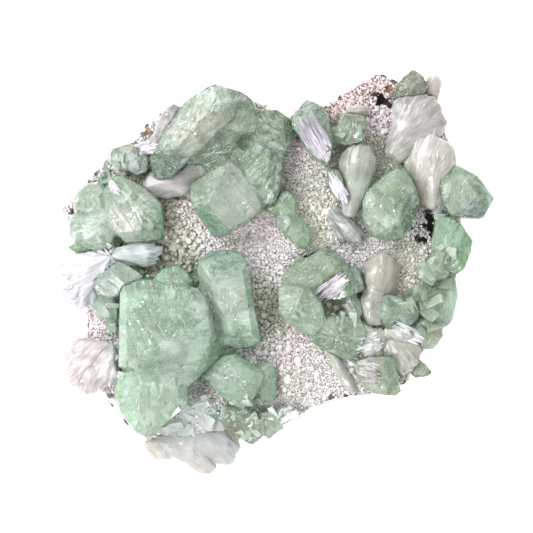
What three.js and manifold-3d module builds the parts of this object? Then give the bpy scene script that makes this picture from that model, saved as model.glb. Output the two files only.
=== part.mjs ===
// Apophyllite on heulandite, a hand-size mineral specimen. Millimetres, +Z up.
// The plate lies on its trimmed back at Z = 0 with the crystals facing +Z; the origin is the middle of its
// footprint. From the bottom up: basalt, a druse crust of heulandite on it, blocks of apophyllite on the
// crust, and sheaves of stilbite between them. Minerals that touch keep a hair gap; crystals of one mineral
// that run into each other are one solid, as they grew.
import * as THREE from "three";
import { ConvexGeometry } from "three/addons/geometries/ConvexGeometry.js";
import { ImprovedNoise } from "three/addons/math/ImprovedNoise.js";
import { mergeVertices } from "three/addons/utils/BufferGeometryUtils.js";
import Module from "manifold-3d";

const wasm = await Module();
wasm.setup();

// ---------- driving dimensions ----------
const GAP = 0.35; // clearance between two pieces that touch
const PLATE_TOP = 18; // usual height of the crust's upper side
const CRUST_THICK = 3; // heulandite crust
const RIM_FALL = 6; // how far the crust drops from the middle of the plate to its rim
const RIM_SHARPNESS = 7; // power of the fall: the higher, the nearer to the rim it happens
const SWELLS = [
  { height: 2, length: 26 },
  { height: 0.9, length: 11 },
]; // waves of the crust's upper side
const BELLY_HEIGHT = 7; // height at which the rock is as wide as its rim
const BASE_INSET = 8; // how far the flat resting side is set in from the rim
const FLANK_ROUGHNESS = 1.2; // how far the rock's flanks swing in and out
const ROOT_DEPTH = 8.5; // how far a crystal's root reaches below the usual crust, before the crust trims it
const ROOT_INSET = 1.6; // how far the root is set in from the crystal's rim
const WAIST_DEPTH = 2; // how far under the usual crust a crystal is as wide as its rim
const TOP_REACH = 20; // how high a crystal's block reaches before its faces cut it
const TOP_INSET = 1.5; // how far the block's top is set in from the rim
const SLAB = 90; // side of the slabs that cut the faces
const SHEAF_SECTIONS = [
  { share: 0, width: 0, thick: 0.6 },
  { share: 0.75, width: 1, thick: 1 },
  { share: 1, width: 0.9, thick: 0.45 },
]; // sections of a sheaf: the share of its length, the way from its narrow to its wide end, and its thickness
const SHEAF_SIDES = [-1, -0.6, 0, 0.6, 1]; // points across a section
const SHEAF_ROUNDING = 0.16; // share of its length by which a sheaf's tip falls back at its sides
const SHEAF_EDGE = 0.28; // thickness at the sides of a section, as a share of that at its middle
const AROUND = 38; // points around the plate
const RING_SHARES = [0.3, 0.55, 0.75, 0.9, 1]; // rings of the plate, as shares of the way to the rim
const MERGE_DISTANCE = 1e-4; // corners nearer than this are one

// The rim of the plate, anticlockwise from its right-hand end: x, y.
const RIM = [
  [54, 3], [53, 11], [52.5, 18], [52, 26], [51, 31.5], [49.5, 35], [48, 41], [47, 47], [45.5, 52],
  [41, 54], [36, 54.5], [31, 57.6], [27, 56], [21, 51.8], [15, 47.8], [9, 45.5], [3, 43.5], [-2.5, 48],
  [-10, 49], [-18, 50], [-26, 48], [-33, 46.2], [-37.5, 43], [-40.5, 38.5], [-46, 34.5], [-52.5, 30.5],
  [-56, 25], [-61.5, 19.5], [-61.5, 13], [-58.5, 8], [-57, 2], [-57, -4], [-55.3, -9], [-55, -15],
  [-55.5, -21], [-57, -26], [-56, -32], [-50.5, -35.5], [-46, -40], [-41.5, -46], [-36.5, -50.5], [-30, -52],
  [-22, -52], [-14, -49], [-8, -48], [-3, -47], [2, -44], [8, -41], [11.5, -38], [17, -36.6],
  [23, -37], [30, -34.5], [36, -32.3], [40, -29.6], [41, -25], [43, -21], [46, -16], [48.5, -10],
  [49.5, -4],
];

// Pits where the crust has broken away from the rock: middle and radius. Few sides, as a break has.
const PIT_SIDES = 7;
const PITS = [
  { at: [30, 49.3], radius: 2.2 },
  { at: [33, 48], radius: 1.7 },
  { at: [44.4, 15], radius: 1.8 },
  { at: [44.6, 12], radius: 1.6 },
  { at: [42.2, 9], radius: 1.4 },
  { at: [9.8, 3.4], radius: 1.9 },
];

// Every growth on the crust, in the order in which one makes room for the next.
// A crystal of apophyllite has a rim, the outline it shows from above, and faces. A face passes through x, y
// and a height over PLATE_TOP, and falls away toward a compass angle (0 is +X, 90 is +Y) by a slope.
// A sheaf of stilbite runs from its root to the middle of its tip, with the width of both and its thickness.
const GROWTHS = {
  apophyllite_great_blocks: {
    crystals: [
      {
        rim: [
          [-45.8, -6], [-45, -4.5], [-39, -2], [-28, -3.6], [-22.5, -4.6], [-20, -7.5], [-18.6, -13],
          [-14.6, -23.2], [-25.5, -34], [-36, -30], [-46, -28],
        ],
        faces: [
          [-32, -13, 15, 200, 3], [-32, -8.5, 15.2, 95, 20], [-33, -22.5, 14.6, 290, 15],
          [-43.5, -15, 14, 180, 52], [-21.5, -24, 13.4, 330, 60], [-19.6, -12, 14.6, 5, 62],
          [-22.7, -8.2, 14.8, 50, 36],
        ],
      },
      {
        rim: [[-36, -2.5], [-34, 0], [-30, 2], [-28, 1.5], [-25.5, -0.5], [-24, -3.5], [-30, -8]],
        faces: [[-30, -2, 12, 90, 17], [-33, -2, 11.6, 145, 42], [-27.5, -2, 11.6, 40, 42]],
      },
      {
        rim: [
          [-46.8, -32.5], [-46, -30], [-40.5, -27.5], [-31, -27], [-27, -28.3], [-25.6, -33], [-25.4, -37.5],
          [-27, -40], [-33, -45], [-38.2, -48.4], [-41, -47], [-45.5, -41], [-47.3, -35],
        ],
        faces: [
          [-39.5, -35, 13, 185, 44], [-39, -36, 13, 300, 13], [-38, -30.5, 13.2, 80, 20],
          [-28, -33, 11.2, 0, 48], [-30.5, -41, 10, 315, 46],
        ],
      },
      {
        rim: [
          [-20, 5], [-17, 6.2], [-13, 6], [-9.8, 5], [-8.6, 1], [-7, -10], [-5.2, -19], [-5, -20.8],
          [-8, -22.3], [-12, -22.7], [-16, -21.5], [-19, -12], [-23, -3.5], [-23.6, 0], [-23, 3.2],
        ],
        faces: [
          [-15, 1, 12, 95, 32], [-12, -6, 12.4, 270, 4], [-17.5, -6, 12, 200, 42], [-8.6, -10, 12, 5, 52],
          [-10, -19, 11.5, 275, 48],
        ],
      },
    ],
  },
  apophyllite_south_block: {
    crystals: [
      {
        rim: [
          [-22, -30], [-18, -26], [-15.5, -24], [-12, -23.6], [-8, -26.5], [-4.5, -28.6], [-4, -30.5],
          [-6, -36], [-8, -38.3], [-10, -40], [-12, -39.5], [-15.5, -37], [-20, -32.5],
        ],
        faces: [
          [-13, -30, 8.5, 225, 9], [-11, -34, 8, 290, 42], [-6.3, -31, 7.7, 330, 52],
          [-9, -26.3, 7.8, 55, 52], [-18, -27.8, 6.8, 135, 52],
        ],
      },
      {
        rim: [
          [-5.5, -27.6], [-4, -26.5], [-2, -26.5], [-0.5, -29], [-0.6, -33], [-1.2, -37.5], [-4, -38],
          [-6, -34],
        ],
        faces: [[-3, -29, 3.8, 60, 25], [-3, -31, 3.6, 270, 12], [-1.5, -31, 3.2, 0, 55]],
      },
    ],
  },
  apophyllite_west_teal: {
    crystals: [
      {
        rim: [
          [-50, 0], [-46, 3], [-43, 1], [-39, -1], [-38.5, -2.5], [-42, -6], [-47.5, -8], [-52, -7.5],
          [-53.5, -5], [-53, -3],
        ],
        faces: [[-46, -1, 7.5, 60, 25], [-47, -2, 7.5, 210, 20], [-50, -2, 6.2, 150, 40]],
      },
      {
        rim: [[-54, -10], [-51, -7.5], [-47.5, -8], [-46.3, -10], [-46.3, -14], [-49, -13.8], [-52, -13.5]],
        faces: [[-49.5, -10.5, 4.5, 0, 14], [-50, -11, 4.5, 220, 34], [-50, -9, 4.2, 110, 36]],
      },
      {
        rim: [[-50, -15.5], [-48.5, -13.2], [-46.4, -13.5], [-46.4, -18], [-48.5, -18]],
        faces: [[-48, -15.5, 2, 200, 30], [-48, -15.5, 2, 80, 30]],
      },
    ],
  },
  apophyllite_north_group: {
    crystals: [
      {
        rim: [
          [-25.2, 25], [-18, 30], [-13, 32.2], [-9.3, 29], [-6.5, 23], [-3.6, 17.8], [-10, 13], [-15, 9.8],
          [-18.5, 9.6], [-20.8, 12.5], [-24, 17], [-25.6, 21.5],
        ],
        faces: [
          [-13, 22, 9.6, 320, 10], [-18.7, 23, 10.2, 165, 36], [-18, 16.8, 9.8, 228, 50],
          [-6.8, 22.5, 8.6, 25, 60], [-9.5, 14.3, 8.2, 305, 60],
        ],
      },
      {
        rim: [
          [-10, 34.5], [-6, 37.5], [0, 33.5], [1.8, 30], [0.8, 22], [-1.5, 18.5], [-4.5, 19], [-9.3, 27.5],
          [-12.8, 32],
        ],
        faces: [[-5, 31, 9, 120, 10], [-2, 27, 8.8, 0, 42], [-3, 34.6, 8.4, 60, 40], [-4, 22, 8.2, 270, 30]],
      },
      {
        rim: [
          [-5.8, 45.5], [-4, 46.6], [0, 46.6], [2.9, 44.5], [4.4, 41], [4.1, 36], [2, 32.3], [-0.5, 33],
          [-5.5, 37.5], [-7.6, 39.6], [-6.2, 42],
        ],
        faces: [[-1, 40, 7.5, 250, 7], [-1, 43, 7.6, 95, 36], [2, 40, 7.3, 5, 46]],
      },
      {
        rim: [
          [-14.2, 53], [-10, 51.5], [-7.3, 49.5], [-5.8, 46], [-5.8, 43], [-7.8, 40], [-10, 38.5], [-14, 40],
          [-16.5, 41], [-17.5, 48],
        ],
        faces: [[-11, 45, 7.5, 320, 10], [-11, 47, 7.3, 60, 30]],
      },
      {
        rim: [
          [-37.2, 32], [-35.6, 27], [-33, 26.2], [-30.8, 26.4], [-27, 31], [-24, 34.5], [-17, 40.6],
          [-12, 44.7], [-11.6, 46.5], [-13.5, 51], [-14, 52.8], [-18, 54], [-22.5, 51.8], [-27, 49],
          [-33, 37],
        ],
        faces: [
          [-22, 41, 10.5, 316, 22], [-23, 43, 10.5, 136, 25], [-32, 32, 9.6, 235, 42], [-15, 49, 10, 60, 35],
        ],
      },
      {
        rim: [
          [-23, 35], [-19, 38.8], [-15, 40.3], [-12, 37.5], [-10, 35], [-13, 32.5], [-18, 30.3], [-22, 30.5],
          [-26, 31],
        ],
        faces: [[-18, 35, 6.5, 300, 20], [-18, 35, 6.5, 100, 14]],
      },
    ],
  },
  apophyllite_west_group: {
    crystals: [
      {
        rim: [
          [-58, 22.5], [-55, 24.6], [-52, 25], [-50, 23], [-48.8, 20], [-49, 17.5], [-53, 17], [-56.6, 16],
          [-57.8, 18],
        ],
        faces: [[-53.5, 20.5, 4, 240, 14], [-53.5, 22, 4, 90, 34], [-51, 20.5, 3.8, 0, 40]],
      },
      {
        rim: [
          [-59.8, 15], [-56, 16.4], [-50, 18.2], [-48, 17], [-46.3, 13], [-47.8, 8], [-50.5, 6], [-53, 5.5],
          [-58, 8.3], [-60.3, 10], [-60.4, 13],
        ],
        faces: [
          [-53, 12, 5.5, 200, 9], [-53, 15, 5.4, 100, 36], [-50, 11, 5.3, 330, 30], [-53, 9, 5.2, 260, 36],
        ],
      },
      {
        rim: [
          [-49, 27], [-45, 27.5], [-40, 25.2], [-35, 21.2], [-33.2, 19], [-32.8, 12], [-33.7, 8.8],
          [-38, 8.2], [-44, 8], [-48, 12], [-49, 20],
        ],
        faces: [
          [-41, 21, 8.1, 50, 30], [-41, 18, 8.4, 220, 11], [-38, 15, 7.9, 340, 28], [-42, 11, 7.2, 265, 36],
        ],
      },
      {
        rim: [[-60.7, 6.8], [-58, 8], [-53.5, 6.7], [-52.8, 5.5], [-55, 4.8], [-58, 4.8]],
        faces: [[-57, 6.3, -1.5, 270, 30], [-57, 6.3, -1.5, 90, 30]],
      },
    ],
  },
  apophyllite_north_west_bud: {
    crystals: [
      {
        rim: [
          [-48.2, 35], [-45, 35.6], [-43.3, 36.6], [-41, 35.6], [-40, 33], [-39.8, 28.5], [-44, 28.8],
          [-46, 29], [-48.2, 31],
        ],
        faces: [[-44, 32, 2.6, 230, 20], [-44, 33, 2.6, 80, 30]],
      },
      {
        rim: [[-42, 33], [-37.4, 33.2], [-37.2, 31], [-38, 28.5], [-41, 27.3], [-42.6, 29]],
        faces: [[-39.5, 31, 4.6, 270, 14], [-41, 30.5, 4.2, 180, 40]],
      },
    ],
  },
  apophyllite_short_prism: {
    crystals: [
      {
        rim: [[14.3, 29.5], [17.5, 29.3], [19.2, 26], [19.6, 21], [18.6, 19.5], [17, 20.3], [14.8, 24]],
        faces: [[17, 25, 6.5, 214, 25], [17.6, 26, 6.8, 34, 20]],
      },
    ],
  },
  stilbite_pale_column: {
    sheaves: [{ root: [20.7, 16, 2], tip: [23.8, 36.5, 4], narrow: 3, wide: 9.5, thick: 7 }],
  },
  apophyllite_north_prisms: {
    crystals: [
      {
        rim: [
          [4, 45], [7.5, 47], [8.5, 49.6], [13, 47.6], [15, 44], [16.3, 38], [15.6, 33], [14.8, 30],
          [13.5, 30], [10, 33.3], [6, 39.3], [3.8, 42],
        ],
        faces: [
          [9.5, 41, 9, 214, 30], [11, 42.5, 9, 34, 28], [14.5, 33, 7.6, 290, 50], [7.5, 46, 7.6, 110, 40],
        ],
      },
      {
        rim: [
          [18.5, 45.6], [25, 44.6], [26.2, 43], [25.2, 38.5], [24.3, 36.8], [19.5, 36], [15.8, 37],
          [16.4, 40.5], [18, 44],
        ],
        faces: [[21, 41, 7.5, 210, 8], [22, 43, 7.4, 70, 36], [20, 38.5, 7.2, 260, 36]],
      },
    ],
  },
  apophyllite_north_east_tip: {
    crystals: [
      {
        rim: [
          [32.6, 51], [36, 55.5], [39.3, 58], [42.2, 56.2], [43.6, 52.8], [42.5, 51.2], [40, 50.6], [37, 50],
          [34, 50.1],
        ],
        faces: [[38, 54, 2.5, 80, 20], [38, 53, 2.5, 250, 25], [41, 54, 2.2, 10, 40]],
      },
    ],
  },
  apophyllite_east_block: {
    crystals: [
      {
        rim: [
          [25.3, 23], [30, 27.2], [34, 29.7], [36.6, 29.6], [38.2, 27.5], [40.2, 24], [41.2, 20], [40.6, 17],
          [38.6, 13], [35.5, 9], [32, 8.8], [28, 9.3], [26, 11], [24.3, 15], [24.2, 20],
        ],
        faces: [
          [31, 18, 10, 225, 12], [36.3, 17, 9.6, 340, 50], [34, 23, 9.7, 60, 22], [33, 12.7, 9.2, 285, 42],
        ],
      },
    ],
  },
  apophyllite_far_east_block: {
    crystals: [
      {
        rim: [
          [46.5, 28.8], [50, 30.3], [52.5, 30.2], [57.7, 27.5], [60.3, 24.3], [62.7, 21], [62.2, 19.8],
          [59.5, 15.4], [58, 15], [54, 15.3], [50, 16], [47.5, 20], [46.5, 26],
        ],
        faces: [
          [52, 23, 5, 0, 6], [56, 24, 4.6, 30, 30], [56, 20, 4.6, 320, 36], [50, 26, 5, 110, 30],
          [50, 19, 4.9, 250, 40],
        ],
      },
    ],
  },
  apophyllite_east_edge_group: {
    crystals: [
      {
        rim: [
          [45.8, 16], [50, 15.2], [53, 13.5], [54.5, 11.3], [56.4, 8.6], [56.1, 6], [55.1, 3], [53.8, 0.3],
          [51.6, -1.2], [49.5, -0.5], [46.5, 4], [44.5, 7], [45.5, 10],
        ],
        faces: [[50, 8, 5, 60, 12], [53, 6, 4.6, 0, 40], [49, 6, 5, 230, 25]],
      },
      {
        rim: [
          [40.8, 0.5], [45, 4.2], [48.3, 7], [50, 3.5], [49.8, 0], [47, -3], [43, -2.5], [40.3, -2.5],
        ],
        faces: [[46, 2, 4.6, 140, 30], [46.5, 1, 4.6, 300, 30]],
      },
      {
        rim: [[38.8, -5], [43, -2.2], [46.2, -8], [45.2, -13], [42.3, -13.2], [41.3, -10], [39, -8]],
        faces: [[43, -8, 3.8, 200, 14], [43.5, -6, 3.8, 60, 30]],
      },
      {
        rim: [
          [44.8, -2], [51.3, -1], [51.2, -5], [52, -7.2], [50.8, -13.5], [49.5, -15.6], [47, -17],
          [45.5, -13], [45.8, -8],
        ],
        faces: [[48, -8, 1.6, 0, 25], [48, -5, 1.6, 100, 20]],
      },
      {
        rim: [
          [39.8, -16], [42, -14.4], [44, -12.4], [47.2, -13.6], [47.7, -17], [47.8, -19], [46.5, -21.2],
          [45, -22.6], [42.5, -22.8], [41.3, -20.5],
        ],
        faces: [[44, -17, 3, 290, 25], [43.5, -16, 3, 110, 25]],
      },
    ],
  },
  apophyllite_east_wedge: {
    crystals: [
      {
        rim: [
          [30.3, -7], [33, -6.8], [37, -8.3], [40.2, -10], [41.2, -13], [39.7, -15], [38, -16.2], [31, -16.7],
          [28.8, -12.5],
        ],
        faces: [[34.5, -11, 6, 60, 15], [35, -12.5, 5.9, 290, 30], [32, -11, 5.9, 180, 35]],
      },
    ],
  },
  apophyllite_centre_group: {
    crystals: [
      {
        rim: [
          [0.2, -4.8], [0, -8], [0.2, -12.2], [2, -14.8], [6, -17.2], [9.5, -19], [12.2, -17.6], [14, -15],
          [13.2, -10], [11.2, -6.8], [9, -4.8], [4, -3.8],
        ],
        faces: [
          [8, -11, 8.5, 320, 15], [4.5, -9, 8.5, 170, 28], [9, -16, 7.7, 270, 46], [12, -12, 8, 0, 50],
        ],
      },
      {
        rim: [
          [1.8, 0.2], [8, -0.8], [12, 4.7], [14, 6.7], [16, 5.7], [18.2, 4.2], [21, 0.8], [20.2, -1],
          [13, -5.6], [11, -7.2], [5, -6.2], [0.8, -4.2],
        ],
        faces: [[13, 0, 7.5, 150, 10], [15, 3, 7.4, 50, 30], [15, -1.5, 7.4, 300, 40]],
      },
      {
        rim: [
          [20, 0.2], [21, 1.1], [23.7, 0.6], [24.7, -3], [25.5, -5.5], [21, -7.2], [18, -8.8], [15.5, -8.3],
          [11.5, -7.8], [13, -5.4], [17, -2.4],
        ],
        faces: [[17, -5, 6.6, 214, 25], [21, -3, 6.4, 20, 20]],
      },
      {
        rim: [
          [9.5, -18.8], [12, -16.4], [15.2, -12.6], [20, -14], [24, -13.8], [26.2, -18], [24.2, -23],
          [22, -25.6], [19, -25.7], [17, -24.7], [13.5, -22.7], [10.3, -21],
        ],
        faces: [[17, -19, 6, 240, 12], [21, -18, 6, 60, 15], [19, -22, 5.6, 280, 36]],
      },
      {
        rim: [[19.4, -8], [22, -6.6], [24.2, -9], [24.7, -12.5], [22.4, -15.4], [20, -13]],
        faces: [[22, -10.5, 4.6, 200, 20], [22, -10.5, 4.6, 20, 25]],
      },
      {
        rim: [[5, 3.5], [6.5, 4.8], [8.2, 3], [8.6, 0.2], [5.8, -1]],
        faces: [[6.6, 3, 2.6, 200, 20]],
      },
    ],
  },
  apophyllite_south_east_block: {
    crystals: [
      {
        rim: [
          [22.8, -26], [27, -24.8], [33.6, -24.8], [34.2, -28], [35.6, -35], [34.2, -36.2], [28, -35.7],
          [25, -34.3], [21.8, -28],
        ],
        faces: [[28, -29, 4.6, 275, 20], [31, -28, 4.6, 330, 30], [27, -26.5, 4.7, 100, 30]],
      },
    ],
  },
  apophyllite_middle_stair: {
    crystals: [
      {
        rim: [[-0.2, 22.5], [3, 23], [5.2, 21], [5.6, 19], [5, 16.2], [1, 15.1], [-3.7, 17.5]],
        faces: [[1.5, 19.5, 6, 320, 20], [1, 20, 6, 130, 30]],
      },
      {
        rim: [
          [-0.6, 15.6], [5, 16.8], [8.2, 13.5], [9.7, 11], [9.6, 8.5], [8.5, 6.6], [6, 6.6], [4.8, 8],
          [-0.5, 13],
        ],
        faces: [[5, 12.5, 5.2, 230, 15], [6, 12.5, 5.2, 40, 30], [7, 9.5, 4.7, 290, 30]],
      },
    ],
  },
  apophyllite_south_tips: {
    crystals: [
      {
        rim: [[-15, -39], [-9, -39.8], [-7, -42], [-9.5, -46.2], [-12, -49.9], [-13.2, -46.5], [-17, -43]],
        faces: [[-12, -42.5, 1.6, 280, 25], [-12, -41, 1.6, 90, 20]],
      },
      {
        rim: [
          [-10, -46.4], [-8, -42.4], [-4, -42.8], [-3.7, -47.5], [-6, -49.2], [-7.4, -50.5], [-9.5, -49.3],
        ],
        faces: [[-6.5, -45.5, 0.2, 260, 28]],
      },
      {
        rim: [[-4.5, -41.5], [-1, -40.8], [2, -42], [3.5, -44], [0.5, -46.5], [-2.8, -48.8], [-4.4, -46]],
        faces: [[-1, -44, 1, 240, 25], [0, -43, 1, 50, 20]],
      },
      {
        rim: [[0.3, -40.5], [3, -39.5], [6.9, -40.8], [6.5, -42.5], [2.6, -44.9], [0.5, -43.5]],
        faces: [[3.3, -42, 0.8, 214, 20]],
      },
    ],
  },
  apophyllite_south_east_tip: {
    crystals: [
      {
        rim: [[40.8, -25.4], [45, -29.6], [43.6, -30.6], [40, -31.2], [38, -29.4]],
        faces: [[41.5, -28, -2, 300, 20], [41, -28, -2, 150, 25]],
      },
    ],
  },
  stilbite_west_bow: {
    sheaves: [
      { root: [-47.5, 4, 3], tip: [-62.3, -6.3, -3], narrow: 5, wide: 15, thick: 8 },
      { root: [-49.5, 3.5, 3], tip: [-34, 5.6, 1.5], narrow: 4, wide: 7, thick: 6 },
    ],
  },
  stilbite_south_west_fan: {
    sheaves: [{ root: [-46.5, -26.5, 1], tip: [-61, -28.5, -5], narrow: 10, wide: 15.5, thick: 8 }],
  },
  stilbite_south_fan: {
    sheaves: [
      { root: [-24, -50, -2.5], tip: [-38, -50.3, -5.5], narrow: 9, wide: 8.5, thick: 7 },
      { root: [-28, -49.5, -2.5], tip: [-11.3, -51.8, -6], narrow: 8, wide: 10, thick: 7 },
      { root: [-26, -49, -3], tip: [-18.8, -57.8, -6], narrow: 14, wide: 6, thick: 6 },
    ],
  },
  stilbite_north_west_wedge: {
    sheaves: [{ root: [-34.5, 35.5, 1], tip: [-28.6, 47.6, 1], narrow: 5, wide: 6, thick: 6 }],
  },
  stilbite_sparkling_tuft: {
    sheaves: [{ root: [-35, 35, -1], tip: [-41, 35, -1], narrow: 4, wide: 4.4, thick: 5 }],
  },
  stilbite_grey_band: {
    sheaves: [{ root: [-12, 35, 3], tip: [-38, 23.5, 0.5], narrow: 2.5, wide: 10, thick: 6 }],
  },
  stilbite_north_east_upper_fan: {
    sheaves: [{ root: [33, 33.5, 1.5], tip: [43.8, 50.5, -0.5], narrow: 3.5, wide: 14, thick: 9 }],
  },
  stilbite_north_east_lower_fan: {
    sheaves: [{ root: [45, 13.5, 0], tip: [44.8, 38.5, 2], narrow: 2.5, wide: 13.5, thick: 9 }],
  },
  stilbite_north_east_point: {
    sheaves: [{ root: [44.5, 51, -2], tip: [46.5, 56, -4], narrow: 4, wide: 3.4, thick: 4 }],
  },
  stilbite_small_beige_tip: {
    sheaves: [{ root: [20.5, 46, -1], tip: [26.3, 46, -1], narrow: 2.5, wide: 2.2, thick: 4 }],
  },
  stilbite_middle_column: {
    sheaves: [{ root: [28.7, -15.3, 1], tip: [30.6, 4.9, 2], narrow: 4, wide: 9.5, thick: 9 }],
  },
  stilbite_south_east_rosette: {
    sheaves: [
      { root: [31, -17.5, 0], tip: [39, -27.5, -2], narrow: 3, wide: 15, thick: 7 },
      { root: [31, -18, 2], tip: [40.6, -18.2, 1], narrow: 3, wide: 4.5, thick: 5 },
      { root: [31, -18, 1], tip: [24.7, -23.2, 2], narrow: 4, wide: 7.5, thick: 5 },
    ],
  },
  stilbite_cream_blade: {
    sheaves: [{ root: [15.2, -23, 1.5], tip: [22.6, -36, -1.5], narrow: 2, wide: 3.6, thick: 5 }],
  },
  stilbite_grey_blades: {
    sheaves: [
      { root: [15.8, 17.3, 1.5], tip: [23.8, 8.4, 2], narrow: 3.5, wide: 4.8, thick: 5 },
      { root: [17.5, 14, 0.5], tip: [20.5, 9.3, 0.5], narrow: 3.5, wide: 4.8, thick: 4 },
    ],
  },
};

const noise = new ImprovedNoise();

// Smooth noise between -1 and 1 over two directions, with a layer of its own for each use. The noise is zero
// where all three inputs are whole numbers, so a layer lies halfway between two.
const wavy = (u, v, layer) => noise.noise(u, v, layer + 0.5);
const ROCK_LAYER = 9;

// ---------- the plate ----------
const rimCurve = new THREE.CatmullRomCurve3(RIM.map(([x, y]) => new THREE.Vector3(x, y, 0)), true);
const rimPoints = rimCurve.getSpacedPoints(AROUND).slice(0, AROUND);

// Distance from the middle of the plate to its rim, along the ray through one point.
function rimRadius(x, y) {
  const reaches = rimPoints.map((p, i) => {
    const q = rimPoints[(i + 1) % AROUND];
    const [ex, ey] = [q.x - p.x, q.y - p.y];
    const det = ex * y - ey * x;
    const along = (p.y * x - p.x * y) / det;
    const reach = (p.y * ex - p.x * ey) / -det;
    return along >= 0 && along <= 1 && reach > 0 ? reach : 0;
  });
  return Math.max(...reaches) * Math.hypot(x, y);
}

// Height of the crust's upper side over a point of the plate.
function crustHeight(x, y) {
  const distance = Math.hypot(x, y);
  const share = distance > 0 ? Math.min(1, distance / rimRadius(x, y)) : 0;
  const swells = SWELLS.map(({ height, length }, layer) => height * wavy(x / length, y / length, layer));
  return swells.reduce((sum, swell) => sum + swell, PLATE_TOP) - RIM_FALL * share ** RIM_SHARPNESS;
}

// One ring of the plate: a share of the way out to the rim, moved outward, at a height that is a number or a
// function of x and y.
function ring(share, height, outward = 0) {
  return rimPoints.map((p) => {
    const [x, y] = [p.x * share, p.y * share];
    const stretch = 1 + outward / Math.hypot(x, y);
    return new THREE.Vector3(x * stretch, y * stretch, typeof height === "number" ? height : height(x, y));
  });
}

// A closed solid through rings of equally many points, closed by one point at each end.
function loft(rings, first, last) {
  const points = [first, ...rings.flat(), last];
  const index = [];
  const at = (level, i) => 1 + level * AROUND + (i % AROUND);
  for (let i = 0; i < AROUND; i++) {
    index.push(0, at(0, i), at(0, i + 1));
    for (let level = 0; level + 1 < rings.length; level++) {
      const [a, b, c, d] = [at(level, i), at(level + 1, i), at(level + 1, i + 1), at(level, i + 1)];
      index.push(a, b, c, a, c, d);
    }
    index.push(at(rings.length - 1, i), points.length - 1, at(rings.length - 1, i + 1));
  }
  return new THREE.BufferGeometry().setFromPoints(points).setIndex(index);
}

// The rock below a depth under the crust's upper side, with a flat resting side and rough flanks, which can
// be moved outward.
function rockGeometry(depth, outward = 0) {
  const top = (x, y) => crustHeight(x, y) - depth;
  const flanks = [
    ring(1, BELLY_HEIGHT, outward),
    ring(1, BELLY_HEIGHT / 2, outward - BASE_INSET / 4),
    ring(1, 0, outward - BASE_INSET),
  ];
  flanks.forEach((level) =>
    level.forEach((p, i) => {
      const outwards = FLANK_ROUGHNESS * wavy(i / 2, p.z / BELLY_HEIGHT, ROCK_LAYER);
      const stretch = 1 + outwards / Math.hypot(p.x, p.y);
      p.multiply(new THREE.Vector3(stretch, stretch, 1));
    }),
  );
  return loft(
    [...RING_SHARES.map((share) => ring(share, top, outward * share)), ...flanks],
    new THREE.Vector3(0, 0, top(0, 0)),
    new THREE.Vector3(0, 0, 0),
  );
}

// The crust before the rock is taken out of its underside: at its rim as thick as it will be, deeper inside.
function crustGeometry() {
  const under = (x, y) => crustHeight(x, y) - CRUST_THICK;
  const deep = (x, y) => under(x, y) - CRUST_THICK;
  return loft(
    [...RING_SHARES.map((share) => ring(share, crustHeight)), ring(1, under), ring(0.9, deep)],
    new THREE.Vector3(0, 0, crustHeight(0, 0)),
    new THREE.Vector3(0, 0, deep(0, 0)),
  );
}

// ---------- solids ----------
function toSolid(geometry) {
  const bare = geometry.clone();
  bare.deleteAttribute("normal");
  bare.deleteAttribute("uv");
  const merged = mergeVertices(bare, MERGE_DISTANCE);
  return new wasm.Manifold(
    new wasm.Mesh({
      numProp: 3,
      vertProperties: merged.attributes.position.array,
      triVerts: new Uint32Array(merged.index.array),
    }),
  );
}

function toGeometry(solid) {
  const mesh = solid.getMesh();
  const geometry = new THREE.BufferGeometry();
  geometry.setAttribute("position", new THREE.BufferAttribute(mesh.vertProperties, 3));
  geometry.setIndex(new THREE.BufferAttribute(mesh.triVerts, 1));
  return geometry;
}

const union = (solids) => solids.reduce((all, next) => all.add(next));
const largestPiece = (solid) => solid.decompose().sort((a, b) => b.volume() - a.volume())[0];

// The convex solid around some points, larger by `grow` sideways.
function hull(points, grow) {
  const sides = [-grow, grow].flatMap((x) => [-grow, grow].map((y) => new THREE.Vector3(x, y, 0)));
  const spread = (p) => sides.map((side) => p.clone().add(side));
  return toSolid(new ConvexGeometry(grow ? points.flatMap(spread) : points));
}

// The half space over a face, as a slab that is larger than any crystal.
function over([x, y, height, toward, slope], grow) {
  const slab = new THREE.BoxGeometry(SLAB, SLAB, SLAB).translate(0, 0, SLAB / 2 + grow);
  slab.rotateY(THREE.MathUtils.degToRad(slope)).rotateZ(THREE.MathUtils.degToRad(toward));
  return toSolid(slab.translate(x, y, PLATE_TOP + height));
}

// One crystal of apophyllite: a block over its rim that narrows a little to root and top, cut by its faces.
function apophyllite({ rim, faces }, grow) {
  const corners = rim.map(([x, y]) => new THREE.Vector3(x, y, 0));
  const middle = corners.reduce((sum, p) => sum.add(p), new THREE.Vector3()).divideScalar(rim.length);
  const level = (height, inset) =>
    corners.map((p) => p.clone().lerp(middle, inset / p.distanceTo(middle)).setZ(PLATE_TOP + height));
  const root = [...level(-ROOT_DEPTH, ROOT_INSET), ...level(-WAIST_DEPTH, 0)];
  const block = hull([...root, ...level(TOP_REACH, TOP_INSET)], grow);
  return block.subtract(union(faces.map((face) => over(face, grow))));
}

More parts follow.
